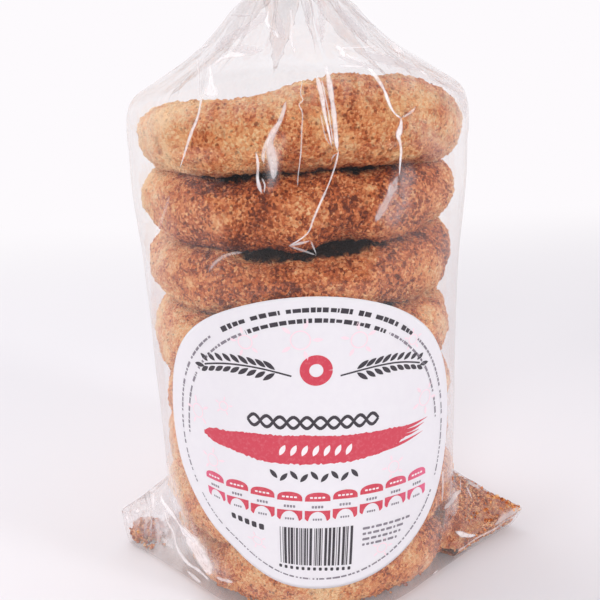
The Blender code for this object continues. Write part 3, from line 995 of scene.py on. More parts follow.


# Painted glints: white strips along tight folds of the film as seen from the front, in place of the light the
# folds catch: how solid each looks, then (x, z, width) in mm along it
PAINTED_FOLD_GLINTS = (
    (0.40, ((-29.2, 186.3, 0.5), (-27.4, 181.1, 0.5), (-27.3, 176.5, 0.4))),
    (0.92, ((-24.3, 184.6, 0.3), (-23.6, 180.6, 0.9), (-23.6, 178.0, 2.6), (-23.6, 176.1, 5.0),
            (-23.7, 174.7, 5.5))),
    (0.80, ((-26.4, 175.4, 1.4), (-27.0, 173.3, 0.8), (-27.7, 170.9, 0.9), (-28.8, 168.5, 1.1),
            (-30.4, 165.8, 1.2), (-31.9, 162.7, 1.0), (-33.4, 159.5, 0.7), (-35.4, 155.4, 0.4))),
    (0.22, ((-39.9, 147.1, 0.8), (-43.6, 139.5, 1.2), (-48.4, 131.4, 0.8))),
    (0.62, ((-3.1, 173.2, 0.8), (-4.1, 170.1, 1.4), (-5.3, 167.5, 1.6), (-7.1, 164.9, 2.5),
            (-8.1, 162.2, 3.0), (-7.9, 159.8, 3.6), (-7.5, 157.0, 3.4), (-7.4, 154.3, 2.5),
            (-7.7, 152.1, 1.4))),
    (0.62, ((-4.4, 168.5, 0.7), (-5.9, 166.7, 1.5), (-8.0, 163.8, 1.3), (-9.5, 161.2, 1.3),
            (-10.2, 158.5, 1.7), (-10.1, 156.6, 0.8))),
    (0.85, ((-12.1, 159.9, 0.7), (-11.8, 157.7, 1.0), (-11.8, 155.5, 0.9), (-12.1, 152.8, 1.0),
            (-11.8, 150.5, 1.4), (-11.1, 148.3, 0.8))),
    (0.45, ((-7.7, 158.1, 1.0), (-7.8, 155.4, 1.5), (-7.8, 152.6, 1.7))),
    (0.70, ((-10.9, 152.7, 0.9), (-10.2, 151.1, 0.8), (-10.5, 148.5, 0.6))),
    (0.50, ((1.6, 178.4, 0.4), (1.0, 174.5, 0.4), (1.5, 173.2, 0.4), (0.4, 172.1, 0.4), (1.0, 170.6, 0.5),
            (0.8, 165.3, 0.5), (0.4, 160.0, 0.5), (-0.2, 155.9, 0.5), (-0.8, 152.4, 0.4),
            (-1.0, 149.9, 0.3))),
    (0.88, ((5.4, 179.3, 0.9), (6.1, 176.6, 1.8), (6.7, 173.8, 1.6), (7.1, 170.4, 1.1), (7.8, 166.6, 0.8),
            (8.5, 162.9, 0.6), (8.9, 160.7, 0.4))),
    (0.55, ((6.7, 178.4, 0.5), (7.6, 173.7, 0.5), (8.4, 169.0, 0.5), (8.9, 165.0, 0.5), (9.3, 161.5, 0.4))),
    (0.45, ((6.1, 169.6, 0.4), (6.7, 165.9, 0.5), (7.5, 162.6, 0.4), (8.7, 160.7, 0.4))),
    (0.84, ((8.0, 181.8, 0.7), (8.6, 178.9, 1.8), (9.1, 175.0, 1.8), (9.6, 170.8, 1.5), (10.0, 166.3, 1.6),
            (10.2, 162.2, 1.5), (10.5, 159.2, 0.6))),
    (0.75, ((10.8, 159.5, 0.5), (10.2, 156.8, 0.7), (8.9, 153.0, 0.6), (7.5, 149.7, 0.6),
            (5.9, 146.5, 0.8), (3.2, 140.9, 0.7), (1.3, 136.7, 0.6), (-1.3, 134.7, 0.6),
            (-4.2, 133.1, 0.7))),
    (0.40, ((10.5, 158.7, 0.5), (9.3, 157.9, 0.6), (8.6, 156.6, 0.5))),
    (0.55, ((-4.2, 133.1, 0.6), (-1.3, 133.7, 0.9), (2.0, 134.4, 0.7))),
    (0.45, ((2.0, 134.4, 0.6), (2.9, 132.2, 0.7), (3.6, 130.0, 0.4))),
    (0.35, ((-4.2, 133.1, 0.5), (-0.5, 131.7, 0.9), (3.5, 130.0, 0.5))),
    (0.30, ((-29.0, 124.4, 0.7), (-27.1, 127.1, 1.1), (-24.0, 129.6, 1.2), (-21.0, 130.8, 1.1),
            (-17.8, 131.4, 0.7))),
    (0.55, ((11.4, 181.6, 0.5), (15.2, 181.3, 0.7), (19.1, 181.1, 0.8))),
    (0.92, ((19.2, 181.3, 0.7), (20.2, 180.3, 1.7), (21.3, 179.0, 1.9), (22.5, 177.3, 1.2),
            (23.7, 175.4, 1.0), (24.8, 172.7, 1.1), (26.0, 169.9, 0.9), (27.3, 168.2, 0.7),
            (29.0, 166.9, 0.9))),
    (0.45, ((29.0, 167.1, 0.7), (31.2, 168.0, 0.9), (32.8, 169.0, 1.2), (33.7, 170.1, 0.6))),
    (0.88, ((29.0, 167.3, 0.8), (28.9, 165.1, 1.5), (28.5, 163.5, 2.1), (28.1, 162.2, 1.7),
            (28.6, 160.5, 1.0), (29.0, 158.2, 0.9), (28.8, 155.4, 0.8), (28.6, 153.1, 0.6),
            (28.4, 150.9, 0.4))),
    (0.40, ((27.8, 150.9, 1.5), (26.8, 148.4, 3.0), (25.3, 145.4, 3.4), (23.4, 142.1, 3.0),
            (21.0, 138.3, 1.9))),
    (0.40, ((25.9, 149.4, 0.9), (25.3, 147.2, 1.3), (25.9, 144.8, 0.9))),
    (0.75, ((35.4, 179.7, 0.9), (36.7, 179.0, 1.0), (38.1, 178.1, 0.5))),
    (0.35, ((38.1, 178.1, 0.5), (42.5, 176.6, 0.5), (47.8, 174.7, 0.6), (53.0, 172.4, 0.9))),
    (0.85, ((-7.5, 198.7, 0.7), (-7.9, 196.9, 1.2), (-7.9, 195.0, 1.3), (-7.1, 193.4, 1.4),
            (-5.8, 191.9, 1.5), (-4.5, 190.0, 0.7))),
    (0.40, ((-4.4, 198.0, 0.6), (-4.8, 194.6, 0.7), (-4.2, 191.5, 0.6))),
    (0.45, ((-0.9, 199.4, 0.7), (-0.6, 194.4, 1.1), (-1.1, 189.5, 0.7), (0.1, 185.4, 0.5))),
    (0.70, ((-22.8, 183.3, 0.5), (-21.7, 184.8, 1.2), (-19.3, 185.8, 1.6), (-16.7, 186.0, 1.4),
            (-13.8, 185.7, 0.7))),
    (0.45, ((-29.8, 189.5, 1.1), (-26.2, 190.6, 0.8))),
    (0.85, ((10.9, 187.2, 0.7), (12.2, 186.6, 1.7), (13.0, 185.2, 1.8), (13.2, 183.4, 0.7))),
    (0.60, ((12.5, 186.5, 0.8), (16.0, 186.5, 0.6), (23.2, 186.9, 0.4))),
    (0.55, ((13.2, 185.1, 0.7), (15.5, 183.7, 0.8), (18.1, 182.2, 0.8), (19.7, 181.1, 0.7))),
    (0.80, ((27.4, 189.6, 1.6), (29.6, 188.4, 4.1), (30.8, 186.4, 3.7), (32.2, 184.7, 1.0))),
    (0.50, ((30.6, 186.0, 0.9), (30.2, 184.1, 0.8), (29.8, 182.9, 0.4))),
    (0.85, ((-62.1, 22.1, 1.4), (-61.0, 21.2, 1.9), (-58.7, 21.0, 2.3), (-56.0, 21.1, 2.5),
            (-51.1, 21.5, 3.0), (-46.1, 22.4, 2.8), (-43.9, 20.7, 2.5))),
    (0.96, ((-51.1, 20.1, 3.0), (-47.9, 21.3, 7.8), (-44.9, 19.5, 12.2), (-42.2, 16.7, 11.8),
            (-40.5, 13.5, 8.0), (-39.2, 10.1, 3.1))),
    (0.70, ((-54.3, 11.9, 1.6), (-52.5, 9.6, 2.0), (-49.9, 7.8, 2.2), (-46.9, 7.4, 1.9), (-43.2, 8.5, 2.4),
            (-39.0, 7.8, 1.3))),
    (0.55, ((-59.5, 19.4, 1.2), (-57.5, 17.1, 1.2), (-54.6, 14.7, 1.7), (-53.8, 11.9, 1.6),
            (-51.6, 9.4, 1.1))),
    (0.38, ((-63.9, 16.2, 1.8), (-62.2, 14.1, 3.5), (-61.3, 10.3, 2.0))),
    (0.75, ((-73.4, 14.6, 0.8), (-72.1, 15.1, 1.5), (-70.6, 15.5, 0.8))),
    (0.70, ((-65.7, 20.7, 1.2), (-65.3, 18.8, 1.7), (-64.9, 16.6, 1.1))),
    (0.55, ((-77.4, 12.6, 2.2), (-75.8, 9.3, 1.3))),
    (0.62, ((-49.3, 4.3, 1.4), (-46.2, 3.6, 2.2), (-42.8, 3.5, 1.6))),
    (0.62, ((-36.3, 11.2, 1.3), (-32.8, 11.7, 2.0), (-29.4, 12.4, 1.1))),
    (0.35, ((-61.3, 11.1, 1.6), (-58.1, 9.5, 2.6), (-54.4, 9.1, 1.9))),
    (0.45, ((-64.1, 22.7, 0.7), (-67.6, 20.5, 0.8), (-71.1, 18.7, 0.8))),
    (0.55, ((46.6, 42.4, 1.1), (46.9, 35.9, 1.5), (46.8, 29.3, 1.2))),
    (0.55, ((60.2, 20.8, 1.0), (58.4, 19.0, 0.8))),
    (0.45, ((61.7, 19.0, 0.7), (62.7, 17.3, 0.9), (63.3, 15.3, 0.7))),
    (0.55, ((48.0, 25.3, 1.8), (53.7, 20.5, 2.6), (59.0, 19.0, 0.9))),
    (0.28, ((53.2, 22.7, 5.1), (54.5, 18.5, 7.4), (54.2, 15.3, 3.3))),
    (0.82, ((53.4, 11.3, 0.8), (55.8, 9.7, 1.6), (58.8, 8.3, 1.7), (62.8, 5.9, 1.0))),
    (0.70, ((42.4, 1.7, 1.3), (45.4, 2.4, 1.6))),
    (0.50, ((83.7, 9.1, 1.3), (79.4, 8.1, 3.3), (74.9, 7.7, 3.6), (71.2, 6.5, 1.3))),
    (0.50, ((62.8, 19.6, 0.7), (68.3, 16.3, 0.9))),
    (0.40, ((83.3, 6.8, 1.3), (71.2, 4.9, 1.2), (63.6, 4.8, 0.9), (53.6, 4.9, 1.2))),
)
# Grey bands of painted shade where the film is folded double, in the same form
PAINTED_FOLD_SHADE = (
    (0.55, ((-23.4, 187.5, 1.0), (-21.5, 189.8, 4.1), (-18.0, 191.7, 4.4), (-13.7, 193.7, 4.1),
            (-9.5, 196.7, 2.6), (-7.6, 198.4, 0.9))),
    (0.45, ((-20.1, 187.9, 0.7), (-15.7, 187.7, 2.5), (-11.6, 186.8, 2.8), (-8.8, 187.0, 1.0))),
    (0.55, ((-5.0, 198.4, 1.1), (-4.4, 195.2, 2.8), (-3.9, 192.4, 2.8), (-2.8, 189.6, 1.0))),
    (0.40, ((-19.9, 199.4, 0.6), (-14.2, 198.2, 0.7), (-8.9, 198.2, 0.5))),
    (0.55, ((-28.6, 185.6, 0.4), (-27.1, 180.8, 0.4), (-27.1, 175.5, 0.3))),
    (0.55, ((18.8, 185.6, 0.9), (21.5, 184.1, 3.0), (25.5, 182.9, 4.3), (29.7, 181.7, 3.4),
            (33.9, 180.5, 1.7), (37.1, 179.6, 0.7))),
    (0.40, ((11.6, 184.1, 0.7), (15.4, 182.6, 1.7), (19.7, 181.3, 1.7), (23.1, 180.4, 0.7))),
    (0.55, ((12.9, 199.8, 1.7), (15.1, 196.3, 3.7), (17.5, 193.1, 4.9), (19.9, 190.4, 3.7),
            (20.9, 187.8, 1.2))),
    (0.50, ((17.5, 200.1, 0.6), (21.3, 196.9, 1.1), (26.3, 194.2, 0.6))),
    (0.45, ((3.9, 202.1, 1.7), (4.3, 198.3, 2.3), (3.7, 193.5, 1.4))),
    (0.45, ((7.5, 201.7, 1.5), (8.1, 197.2, 2.2), (8.0, 192.2, 1.8), (7.3, 187.9, 0.7))),
    (0.40, ((38.1, 178.1, 0.8), (42.1, 176.3, 1.9), (46.8, 174.4, 3.2), (50.3, 171.9, 4.3),
            (52.3, 168.8, 4.4), (53.2, 165.1, 3.2))),
    (0.35, ((-25.9, 185.3, 0.8), (-25.5, 182.4, 1.7), (-26.0, 179.1, 1.5), (-26.7, 176.0, 0.7))),
)
# Places across a fold's strip, as shares of its width, and how much of the fold's solidity each has
STRIP_PLACES = (-0.5, -0.24, 0.0, 0.24, 0.5)
STRIP_COVER = (0.0, 1.0, 1.0, 1.0, 0.0)
STRIP_RAY_FROM_Y = -0.2
STRIP_NEAR_Y = -0.02
FOLD_STEP = 0.5
FOLD_LIFT = 0.00010
FOLD_TAPER = 1.2


def fold_strip(fold, number):
    """Rows of five (x, z) places in metres across a fold, and how solid it is at each."""
    solid, route = fold
    x, z, width = np.array(route, float).T
    length = np.concatenate([[0], np.cumsum(np.hypot(np.diff(x), np.diff(z)))])
    at = np.linspace(0, length[-1], max(4, int(length[-1] / FOLD_STEP)))
    x, z, width = (curve_through(list(zip(length, values)), at) for values in (x, z, width))
    place = np.stack([at, np.full_like(at, 7.0 * number), np.zeros_like(at)], -1)
    width = width * (1 + 0.25 * value_noise(place, 1.6, 91))
    ends = np.clip(np.minimum(at, at[-1] - at) / FOLD_TAPER, 0.08, 1) ** 0.5
    ahead = np.stack([np.gradient(x), np.gradient(z)], -1)
    ahead /= np.linalg.norm(ahead, axis=1)[:, None]
    across = np.array(STRIP_PLACES) * (width * ends)[:, None]
    x = x[:, None] - ahead[:, 1:] * across
    z = z[:, None] + ahead[:, :1] * across
    cover = solid * np.array(STRIP_COVER) * (0.85 + 0.15 * value_noise(place, 2.5, 92))[:, None]
    return np.stack([x, z], -1) * MM, cover * ends[:, None]


def lay_folds(name, folds, film, material):
    """Narrow strips laid on the film's front along its folds, as one piece: the painted glints or the painted
    shade.
    """
    mesh = film.data
    tree = BVHTree.FromPolygons([v.co for v in mesh.vertices], [p.vertices for p in mesh.polygons])
    points, covers, quads = [], [], []
    for number, fold in enumerate(folds):
        places, cover = fold_strip(fold, number)
        quads.append(grid_quads(len(places), len(STRIP_PLACES), wrap_columns=False, offset=len(points)))
        for x, z in places.reshape(-1, 2):
            hit, normal, _, _ = tree.ray_cast((x, STRIP_RAY_FROM_Y, z), (0, 1, 0))
            if hit is None:
                hit, normal, _, _ = tree.find_nearest((x, STRIP_NEAR_Y, z))
            lift = FOLD_LIFT if normal.y < 0 else -FOLD_LIFT
            points.append(hit + normal * lift)
        covers.append(cover.ravel())
    piece = mesh_from_arrays(name, points, np.concatenate(quads), material)
    add_attribute(piece, "cover", np.clip(np.concatenate(covers), 0, 1))
    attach(piece, "root")
    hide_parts("bag")


def fold_material(name, colour):
    """Film folded tight, as a painted glint in white or as painted shade in grey."""
    n = Nodes(name)
    uneven = n.ramp(n.noise(0.0012, 3.0, 0.6), 0.30, 0.55, 0.75, 1.0)
    n.link(n.mix(uneven, linear(*(c - 12 for c in colour)), linear(*colour)), n.shader.inputs["Base Color"])
    n.shader.inputs["Roughness"].default_value = 0.35
    n.link(n.bump(n.noise(0.0010, 2.0), 0.0002, 0.4), n.shader.inputs["Normal"])
    cover = n.math("MULTIPLY", n.attribute("cover"), uneven)
    n.link(n.blend(cover, n.see_through(), n.shader.outputs[0]), n.output.inputs["Surface"])
    return n.material


def make_folds(film):
    """The grey bands of painted shade and, over them, the white folds of painted glints."""
    lay_folds("film_shades", PAINTED_FOLD_SHADE, film, fold_material("film_painted_shade", (214, 205, 208)))
    lay_folds("film_fold_glints", PAINTED_FOLD_GLINTS, film, fold_material("film_painted_glint", (253, 248, 250)))


make_folds(make_film())


LABEL_WIDTH = 0.1140
LABEL_HEIGHT = 0.1050
LABEL_COLUMNS = 110
LABEL_ROWS = 72
LABEL_LIFT = 0.0003
PAPER_THICKNESS = 0.00016
PRINT_LIFT = 0.00005
PRINT_TURN = math.radians(-3.0)
PRINT_MID = (0.0007, 0.0655)
# How far the label's edge is drawn in or out of its oval, as (angle round the label in degrees, share)
LABEL_EDGE = (
    (-180, 0.955), (-165, 0.935), (-150, 0.905), (-137, 0.890), (-125, 0.885), (-115, 0.915), (-105, 0.950),
    (-85, 0.975), (-60, 1.005), (-30, 1.030), (0, 1.020), (40, 1.000), (110, 1.000), (135, 1.020),
    (152, 1.000), (165, 0.975), (180, 0.955),
)


def drawn_in(along, z):
    """Places on the label moved with its edge, which is drawn in at the lower left."""
    across = along / (0.5 * LABEL_WIDTH)
    up = (z - LABEL_MID_Z) / (0.5 * LABEL_HEIGHT)
    share = curve_through(LABEL_EDGE, np.degrees(np.arctan2(up, across))) - 1
    share = 1 + share * smooth_step(0.55, 1.0, np.hypot(across, up))
    return along * share, LABEL_MID_Z + (z - LABEL_MID_Z) * share


def on_label(along, z, lift):
    """Points on the label's wavy surface at distances round from the front and heights."""
    along, z = drawn_in(along, z)
    angle = (along - BODY_SHIFT) / WAIST_RADIUS
    radius = bag_radius(z) + LABEL_LIFT + lift + sway(angle, z)
    return np.stack([radius * np.sin(angle) + axis_shift(z), -radius * np.cos(angle), z], -1)


def make_label():
    """The oval paper label, with a front, a back and a thin rim."""
    columns, rows = LABEL_COLUMNS, LABEL_ROWS
    turn = np.linspace(0, math.pi, columns + 2)[1:-1]
    across = -0.5 * LABEL_WIDTH * np.cos(turn)
    half = 0.5 * LABEL_HEIGHT * np.sin(turn)
    along, share = np.meshgrid(across, np.linspace(-1, 1, rows), indexing="ij")
    z = LABEL_MID_Z + half[:, None] * share
    sides = [on_label(along, z, lift).reshape(-1, 3) for lift in (PAPER_THICKNESS, 0.0)]
    count = columns * rows
    quads = grid_quads(columns, rows, wrap_columns=False)
    number = np.arange(count).reshape(columns, rows)
    edge = np.concatenate([number[:, 0], number[-1, 1:], number[-2::-1, -1], number[0, -2:0:-1]])
    after = np.roll(edge, -1)
    rim = np.stack([edge, after, after + count, edge + count], -1)
    faces = np.concatenate([quads, quads[:, ::-1] + count, rim])
    label = mesh_from_arrays("label_sheet", np.concatenate(sides), faces, paper_material())
    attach(label, "root")
    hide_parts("label")


make_label()


# Print on the label.  Places are in mm from the middle of the print, before it is turned.
# Half width and half height of the outer line of dashes, and how much less the inner line has
BORDER_HALF_SIZE = (50.5, 48.3)
BORDER_GAP = (4.0, 3.4)
BAND_TOP = (
    (-38.2, 3.0), (-35.5, 4.3), (-29.0, 5.0), (-20.0, 6.1), (-8.0, 6.5), (6.0, 6.4), (18.0, 6.3), (27.0, 6.0),
    (32.0, 5.6),
)
BAND_BOTTOM = (
    (-38.2, 1.6), (-34.4, 0.0), (-26.0, -1.8), (-18.0, -3.2), (-7.2, -3.5), (4.1, -3.4), (13.7, -2.9),
    (24.2, -1.2), (32.0, 1.9),
)
# Tails of the brush stroke: (x, y, width) at the start, in the middle and at the tip
BAND_TAILS = (
    ((24.0, 5.2, 1.6), (33.0, 4.9, 1.3), (41.6, 5.6, 0.1)),
    ((28.0, 3.9, 1.6), (34.0, 3.4, 1.2), (40.0, 4.2, 0.1)),
    ((28.0, 2.6, 1.4), (33.0, 2.1, 0.9), (37.6, 2.5, 0.1)),
    ((20.0, -1.2, 1.2), (30.0, -0.2, 1.1), (39.4, 1.3, 0.1)),
)
BAND_ROUGHNESS = 0.16
TAB_SPACING = 9.0
TAB_SIZE = (8.2, 3.3)
PRINT_LOW = -48
PRINT_HIGH = 52
# Width and height of the pieces that print is cut into, and the smallest area that is printed
PRINT_CELL = (1.2, 4.0)
SMALLEST_PRINT = 1e-4


def ellipse(mid, half_width, half_height, steps=20):
    """An oval outline."""
    turns = np.linspace(0, 2 * math.pi, steps, endpoint=False)
    return [(mid[0] + half_width * math.cos(t), mid[1] + half_height * math.sin(t)) for t in turns]


def leaf(mid, length, width, turn, steps=8):
    """A pointed leaf or grain outline."""
    out = []
    c, s = math.cos(turn), math.sin(turn)
    for side in (1, -1):
        for t in np.linspace(0, 1, steps, endpoint=False):
            x = side * (t - 0.5) * length
            y = side * 0.5 * width * math.sin(math.pi * t) ** 0.8
            out.append((mid[0] + x * c - y * s, mid[1] + x * s + y * c))
    return out[::-1]


def ribbon(route, width):
    """Four-sided faces along a route of points, of one width or one for each point."""
    route = np.array(route, float)
    width = np.broadcast_to(np.asarray(width, float), len(route))
    along = np.gradient(route, axis=0)
    side = np.stack([-along[:, 1], along[:, 0]], -1) / np.linalg.norm(along, axis=1)[:, None]
    left = [tuple(point) for point in route + side * 0.5 * width[:, None]]
    right = [tuple(point) for point in route - side * 0.5 * width[:, None]]
    return [list(face) for face in zip(right, right[1:], left[1:], left)]


def ring_shape(mid, radius, width, steps=28):
    """A flat ring as four-sided faces."""
    return ribbon(ellipse(mid, radius, radius, steps=steps) + [(mid[0] + radius, mid[1])], width)


def rounded_bar(left, bottom, width, height, corner=0.35, steps=4):
    """A rectangle with round corners."""
    corner = min(corner, 0.5 * width, 0.5 * height)
    out = []
    for x, y, start in ((width - corner, corner, -90), (width - corner, height - corner, 0),
                        (corner, height - corner, 90), (corner, corner, 180)):
        for t in np.radians(np.linspace(start, start + 90, steps)):
            out.append((left + x + corner * math.cos(t), bottom + y + corner * math.sin(t)))
    return out


def tab_shape(mid, up):
    """A tab: a bar with a domed top, or with an arch cut out of its foot."""
    half, height = 0.5 * TAB_SIZE[0], TAB_SIZE[1]
    if up:
        turns = np.linspace(0.0, math.pi, 16)
        dome = [(half * math.cos(t), -0.5 * height + height * math.sin(t) ** 0.55) for t in turns]
        return [[(mid[0] + x, mid[1] + y) for x, y in dome]]
    top = mid[1] + 0.62 * height
    edge = []
    for t in np.linspace(-1, 1, 17):
        arch = -0.62 * height + 1.15 * height * math.sqrt(max(0.0, 1 - (t / 0.72) ** 2))
        edge.append((mid[0] + half * t, mid[1] + max(arch, -0.62 * height * (1 - 0.55 * abs(t) ** 6))))
    return [[first, second, (second[0], top), (first[0], top)] for first, second in zip(edge, edge[1:])]


def cut_at(built, places, axis):
    """Cuts flat shapes along the lines at these places on an axis."""
    for place in places:
        everything = built.verts[:] + built.edges[:] + built.faces[:]
        point = tuple(place * part for part in axis)
        bmesh.ops.bisect_plane(built, geom=everything, plane_co=point, plane_no=axis, dist=1e-5)


def print_piece(name, faces, material, lift=PRINT_LIFT):
    """Printed shapes, cut into narrow columns so that they follow the label's curve."""
    built = bmesh.new()
    for face in faces:
        area = sum(x0 * y1 - x1 * y0 for (x0, y0), (x1, y1) in zip(face, face[1:] + face[:1]))
        if abs(area) < SMALLEST_PRINT:
            continue
        built.faces.new([built.verts.new((x, y, 0)) for x, y in (face if area > 0 else face[::-1])])
    bmesh.ops.remove_doubles(built, verts=built.verts, dist=1e-4)
    bmesh.ops.triangulate(built, faces=[f for f in built.faces if len(f.verts) > 4])
    reach = [v.co.x for v in built.verts]
    cut_at(built, np.arange(math.floor(min(reach)), max(reach), PRINT_CELL[0]), (1, 0, 0))
    cut_at(built, np.arange(PRINT_LOW, PRINT_HIGH, PRINT_CELL[1]), (0, 1, 0))
    flat = np.array([v.co[:] for v in built.verts])[:, :2] * MM
    c, s = math.cos(PRINT_TURN), math.sin(PRINT_TURN)
    along = PRINT_MID[0] + flat[:, 0] * c - flat[:, 1] * s
    z = PRINT_MID[1] + flat[:, 0] * s + flat[:, 1] * c
    for vert, place in zip(built.verts, on_label(along, z, PAPER_THICKNESS + lift)):
        vert.co = place
    mesh = bpy.data.meshes.new(name)
    built.to_mesh(mesh)
    built.free()
    made = object_of(name, mesh, material)
    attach(made, "root")
    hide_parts("label")


def brush_band(draw, step=0.6):
    """A brush stroke across the label: narrow columns with uneven ends, and thin tails on the right."""
    x = np.arange(BAND_TOP[0][0], BAND_TOP[-1][0], step)
    top = curve_through(BAND_TOP, x) + draw.normal(0, BAND_ROUGHNESS, len(x))
    bottom = curve_through(BAND_BOTTOM, x) + draw.normal(0, BAND_ROUGHNESS, len(x))
    low, high = list(zip(x, bottom)), list(zip(x, top))
    faces = [list(face) for face in zip(low, low[1:], high[1:], high)]
    for tail in BAND_TAILS:
        along, up, width = np.array(tail).T
        at = np.linspace(along[0], along[-1], 14)
        route = np.stack([at, curve_through(list(zip(along, up)), at)], -1)
        faces += ribbon(route, curve_through(list(zip(along, width)), at))
    return faces


def wheat_sprig(side, draw):
    """A curved stem with pairs of grains, to one side of the middle motif."""
    def stem(t):
        return side * (7.5 + 29 * t), 26.6 + 3.2 * math.sin(2.6 * t) - 2.0 * t

    faces = ribbon([stem(t) for t in np.linspace(0, 1, 24)], 0.55)
    for k in range(9):
        x, y = stem(0.20 + 0.095 * k)
        length = 4.6 - 0.17 * k + draw.uniform(-0.2, 0.2)
        for up in (1, -1):
            turn = up * 0.62 if side > 0 else math.pi - up * 0.62
            faces.append(leaf((x + side * 1.2, y + up * 1.9), length, 1.5, turn))
    faces.append(leaf((side * 38.6, 25.6), 4.0, 1.5, 0.0 if side > 0 else math.pi))
    return faces


def rope(left, right, height, swing, width, waves):
    """Two strands that cross over and over, as a row of ornament."""
    faces = []
    xs = np.linspace(left, right, 16 * waves)
    widths = width * (0.75 + 0.25 * np.abs(np.sin(np.linspace(0, 2 * math.pi * waves, len(xs)))))
    for phase in (0.0, math.pi):
        turns = phase + 2 * math.pi * waves * (xs - left) / (right - left)
        faces += ribbon([(x, height + swing * math.sin(t)) for x, t in zip(xs, turns)], widths)
    return faces


def dashed_border(draw, inset, start, end, size):
    """Short bars of uneven lengths along an arc near the label's edge, between angles in degrees."""
    half_width, half_height = (half - inset * gap for half, gap in zip(BORDER_HALF_SIZE, BORDER_GAP))
    faces = []
    t, end = math.radians(start), math.radians(end)
    while t < end:
        radius = math.hypot(half_width * math.sin(t), half_height * math.cos(t))
        stretch = draw.uniform(0.5, 2.6) / radius
        last = min(t + stretch, end)
        route = [(half_width * math.cos(k), half_height * math.sin(k)) for k in np.linspace(t, last, 4)]
        faces += ribbon(route, size * draw.uniform(0.7, 1.0))
        t = last + draw.uniform(0.30, 0.75) / radius
        if draw.random() < 0.12:
            t += 1.3 / radius
    return faces


def bar_pattern(draw, left, right, bottom, top):
    """Upright bars of random widths."""
    faces = []
    x = left
    while x < right - 0.3:
        width = draw.choice([0.22, 0.22, 0.42, 0.62, 0.85])
        faces.append([(x, bottom), (x + width, bottom), (x + width, top), (x, top)])
        x += width + draw.choice([0.25, 0.25, 0.45, 0.70])
    return faces


# Arcs of dashes: ink, number of the line from the edge inwards, start and end in degrees, width of the bars
BORDER_ARCS = (
    ("grey", 0, -90, -28, 0.85),
    ("grey", 0, -22, 46, 0.95),
    ("dark", 0, 50, 128, 1.75),
    ("grey", 0, 132, 205, 0.95),
    ("grey", 0, 210, 269, 0.75),
    ("dark", 1, 62, 118, 1.5),
    ("grey", 1, 5, 60, 0.95),
    ("grey", 1, 120, 182, 0.95),
)
# Pale flowers between the motifs: place and size
FLOWERS = (
    (-22, 36.5, 2.2),
    (13, 38.0, 2.6),
    (-41, 9, 2.4),
    (40, 13, 2.7),
    (-35, -7.5, 2.2),
    (27, -8, 2.0),
    (-19.5, -35.5, 1.8),
    (24, -38.0, 1.8),
    (-5, 38.5, 3.0),
    (33, 35.0, 1.7),
    (-30, 13.5, 1.5),
)


def print_tabs(ink):
    """Two rows of tabs with small bars in and under them."""
    for k in range(9):
        x = TAB_SPACING * (k - 4) + 1.2
        y = -14.4 - 0.9 * math.cos((k - 3.6) * 0.75)
        ink["red"] += tab_shape((x, y), True) + tab_shape((x, y - 7.2), False)
        for j in range(4):
            ink["grey"].append(rounded_bar(x - 1.9 + 1.0 * j, y - 4.2, 0.7, 0.95, 0.2))
            ink["grey"].append(rounded_bar(x - 1.5 + 0.8 * j, y - 8.8, 0.55, 0.8, 0.2))
            ink["white"].append(rounded_bar(x - 2.5 + 1.3 * j, y - 0.55, 0.95, 0.65, 0.2))


def print_leaves_and_bars(ink, draw):
    """The rows of leaves, the upright bars and the small bars round them."""
    for k in range(9):
        place = (-13.0 + 3.25 * k, -7.9 + 0.45 * (-1) ** k)
        ink["dark"].append(leaf(place, 3.9, 1.5, 0.9 if k % 2 else -0.9))
    for k in range(7):
        ink["white"].append(leaf((-10.2 + 3.5 * k, 1.3), 4.2, 1.7, 1.15))
    ink["dark"] += bar_pattern(draw, -11.0, 13.0, -42.4, -27.0)
    for k in range(13):
        ink["dark"].append(rounded_bar(-11.6 + 1.95 * k, -44.6, 1.0, 1.4, 0.3))
    for k in range(5):
        ink["dark"].append(rounded_bar(-29.0 + 2.7 * k, -28.6 - 0.25 * k, 1.8, 2.4, 0.5))
    for row in range(4):
        x = 16.5
        while x < 34.0 - 1.6 * row:
            width = draw.uniform(0.8, 2.6)
            ink["grey"].append(rounded_bar(x, -29.3 - 2.1 * row, width, 0.95, 0.3))
            x += width + 0.55


def print_flowers(ink):
    """A pale ring with five leaves round it at each of a few places."""
    for x, y, size in FLOWERS:
        ink["pale"] += ring_shape((x, y), size, 0.45, 22)
        for k in range(5):
            turn = 2 * math.pi * k / 5 + x
            place = (x + 1.75 * size * math.cos(turn), y + 1.75 * size * math.sin(turn))
            ink["pale"].append(leaf(place, 1.1 * size, 0.42 * size, turn))


def make_print():
    """Everything printed on the label, sorted by ink."""
    draw = np.random.default_rng(5)
    ink = {name: [] for name in ("red", "dark", "grey", "pale", "white")}
    ink["red"] += brush_band(draw) + ring_shape((0.0, 28.6), 3.6, 2.9, 40)
    print_tabs(ink)
    ink["dark"] += wheat_sprig(1, draw) + wheat_sprig(-1, draw) + rope(-21.5, 20.5, 10.9, 1.9, 1.15, 5)
    print_leaves_and_bars(ink, draw)
    for name, *arc in BORDER_ARCS:
        ink[name] += dashed_border(draw, *arc)
    print_flowers(ink)
    pale = ink_material("pale_ink", (246, 214, 224), (244, 224, 231))
    dark = ink_material("dark_ink", (46, 42, 48), (72, 66, 74))
    grey = ink_material("grey_ink", (112, 106, 116), (150, 142, 152))
    bare = ink_material("bare_paper", (244, 236, 238), (236, 222, 226))
    print_piece("print_red", ink["red"], red_ink())
    print_piece("print_pale", ink["pale"], pale)
    print_piece("print_dark", ink["dark"], dark)
    print_piece("print_grey", ink["grey"], grey)
    print_piece("print_white", ink["white"], bare, 2 * PRINT_LIFT)


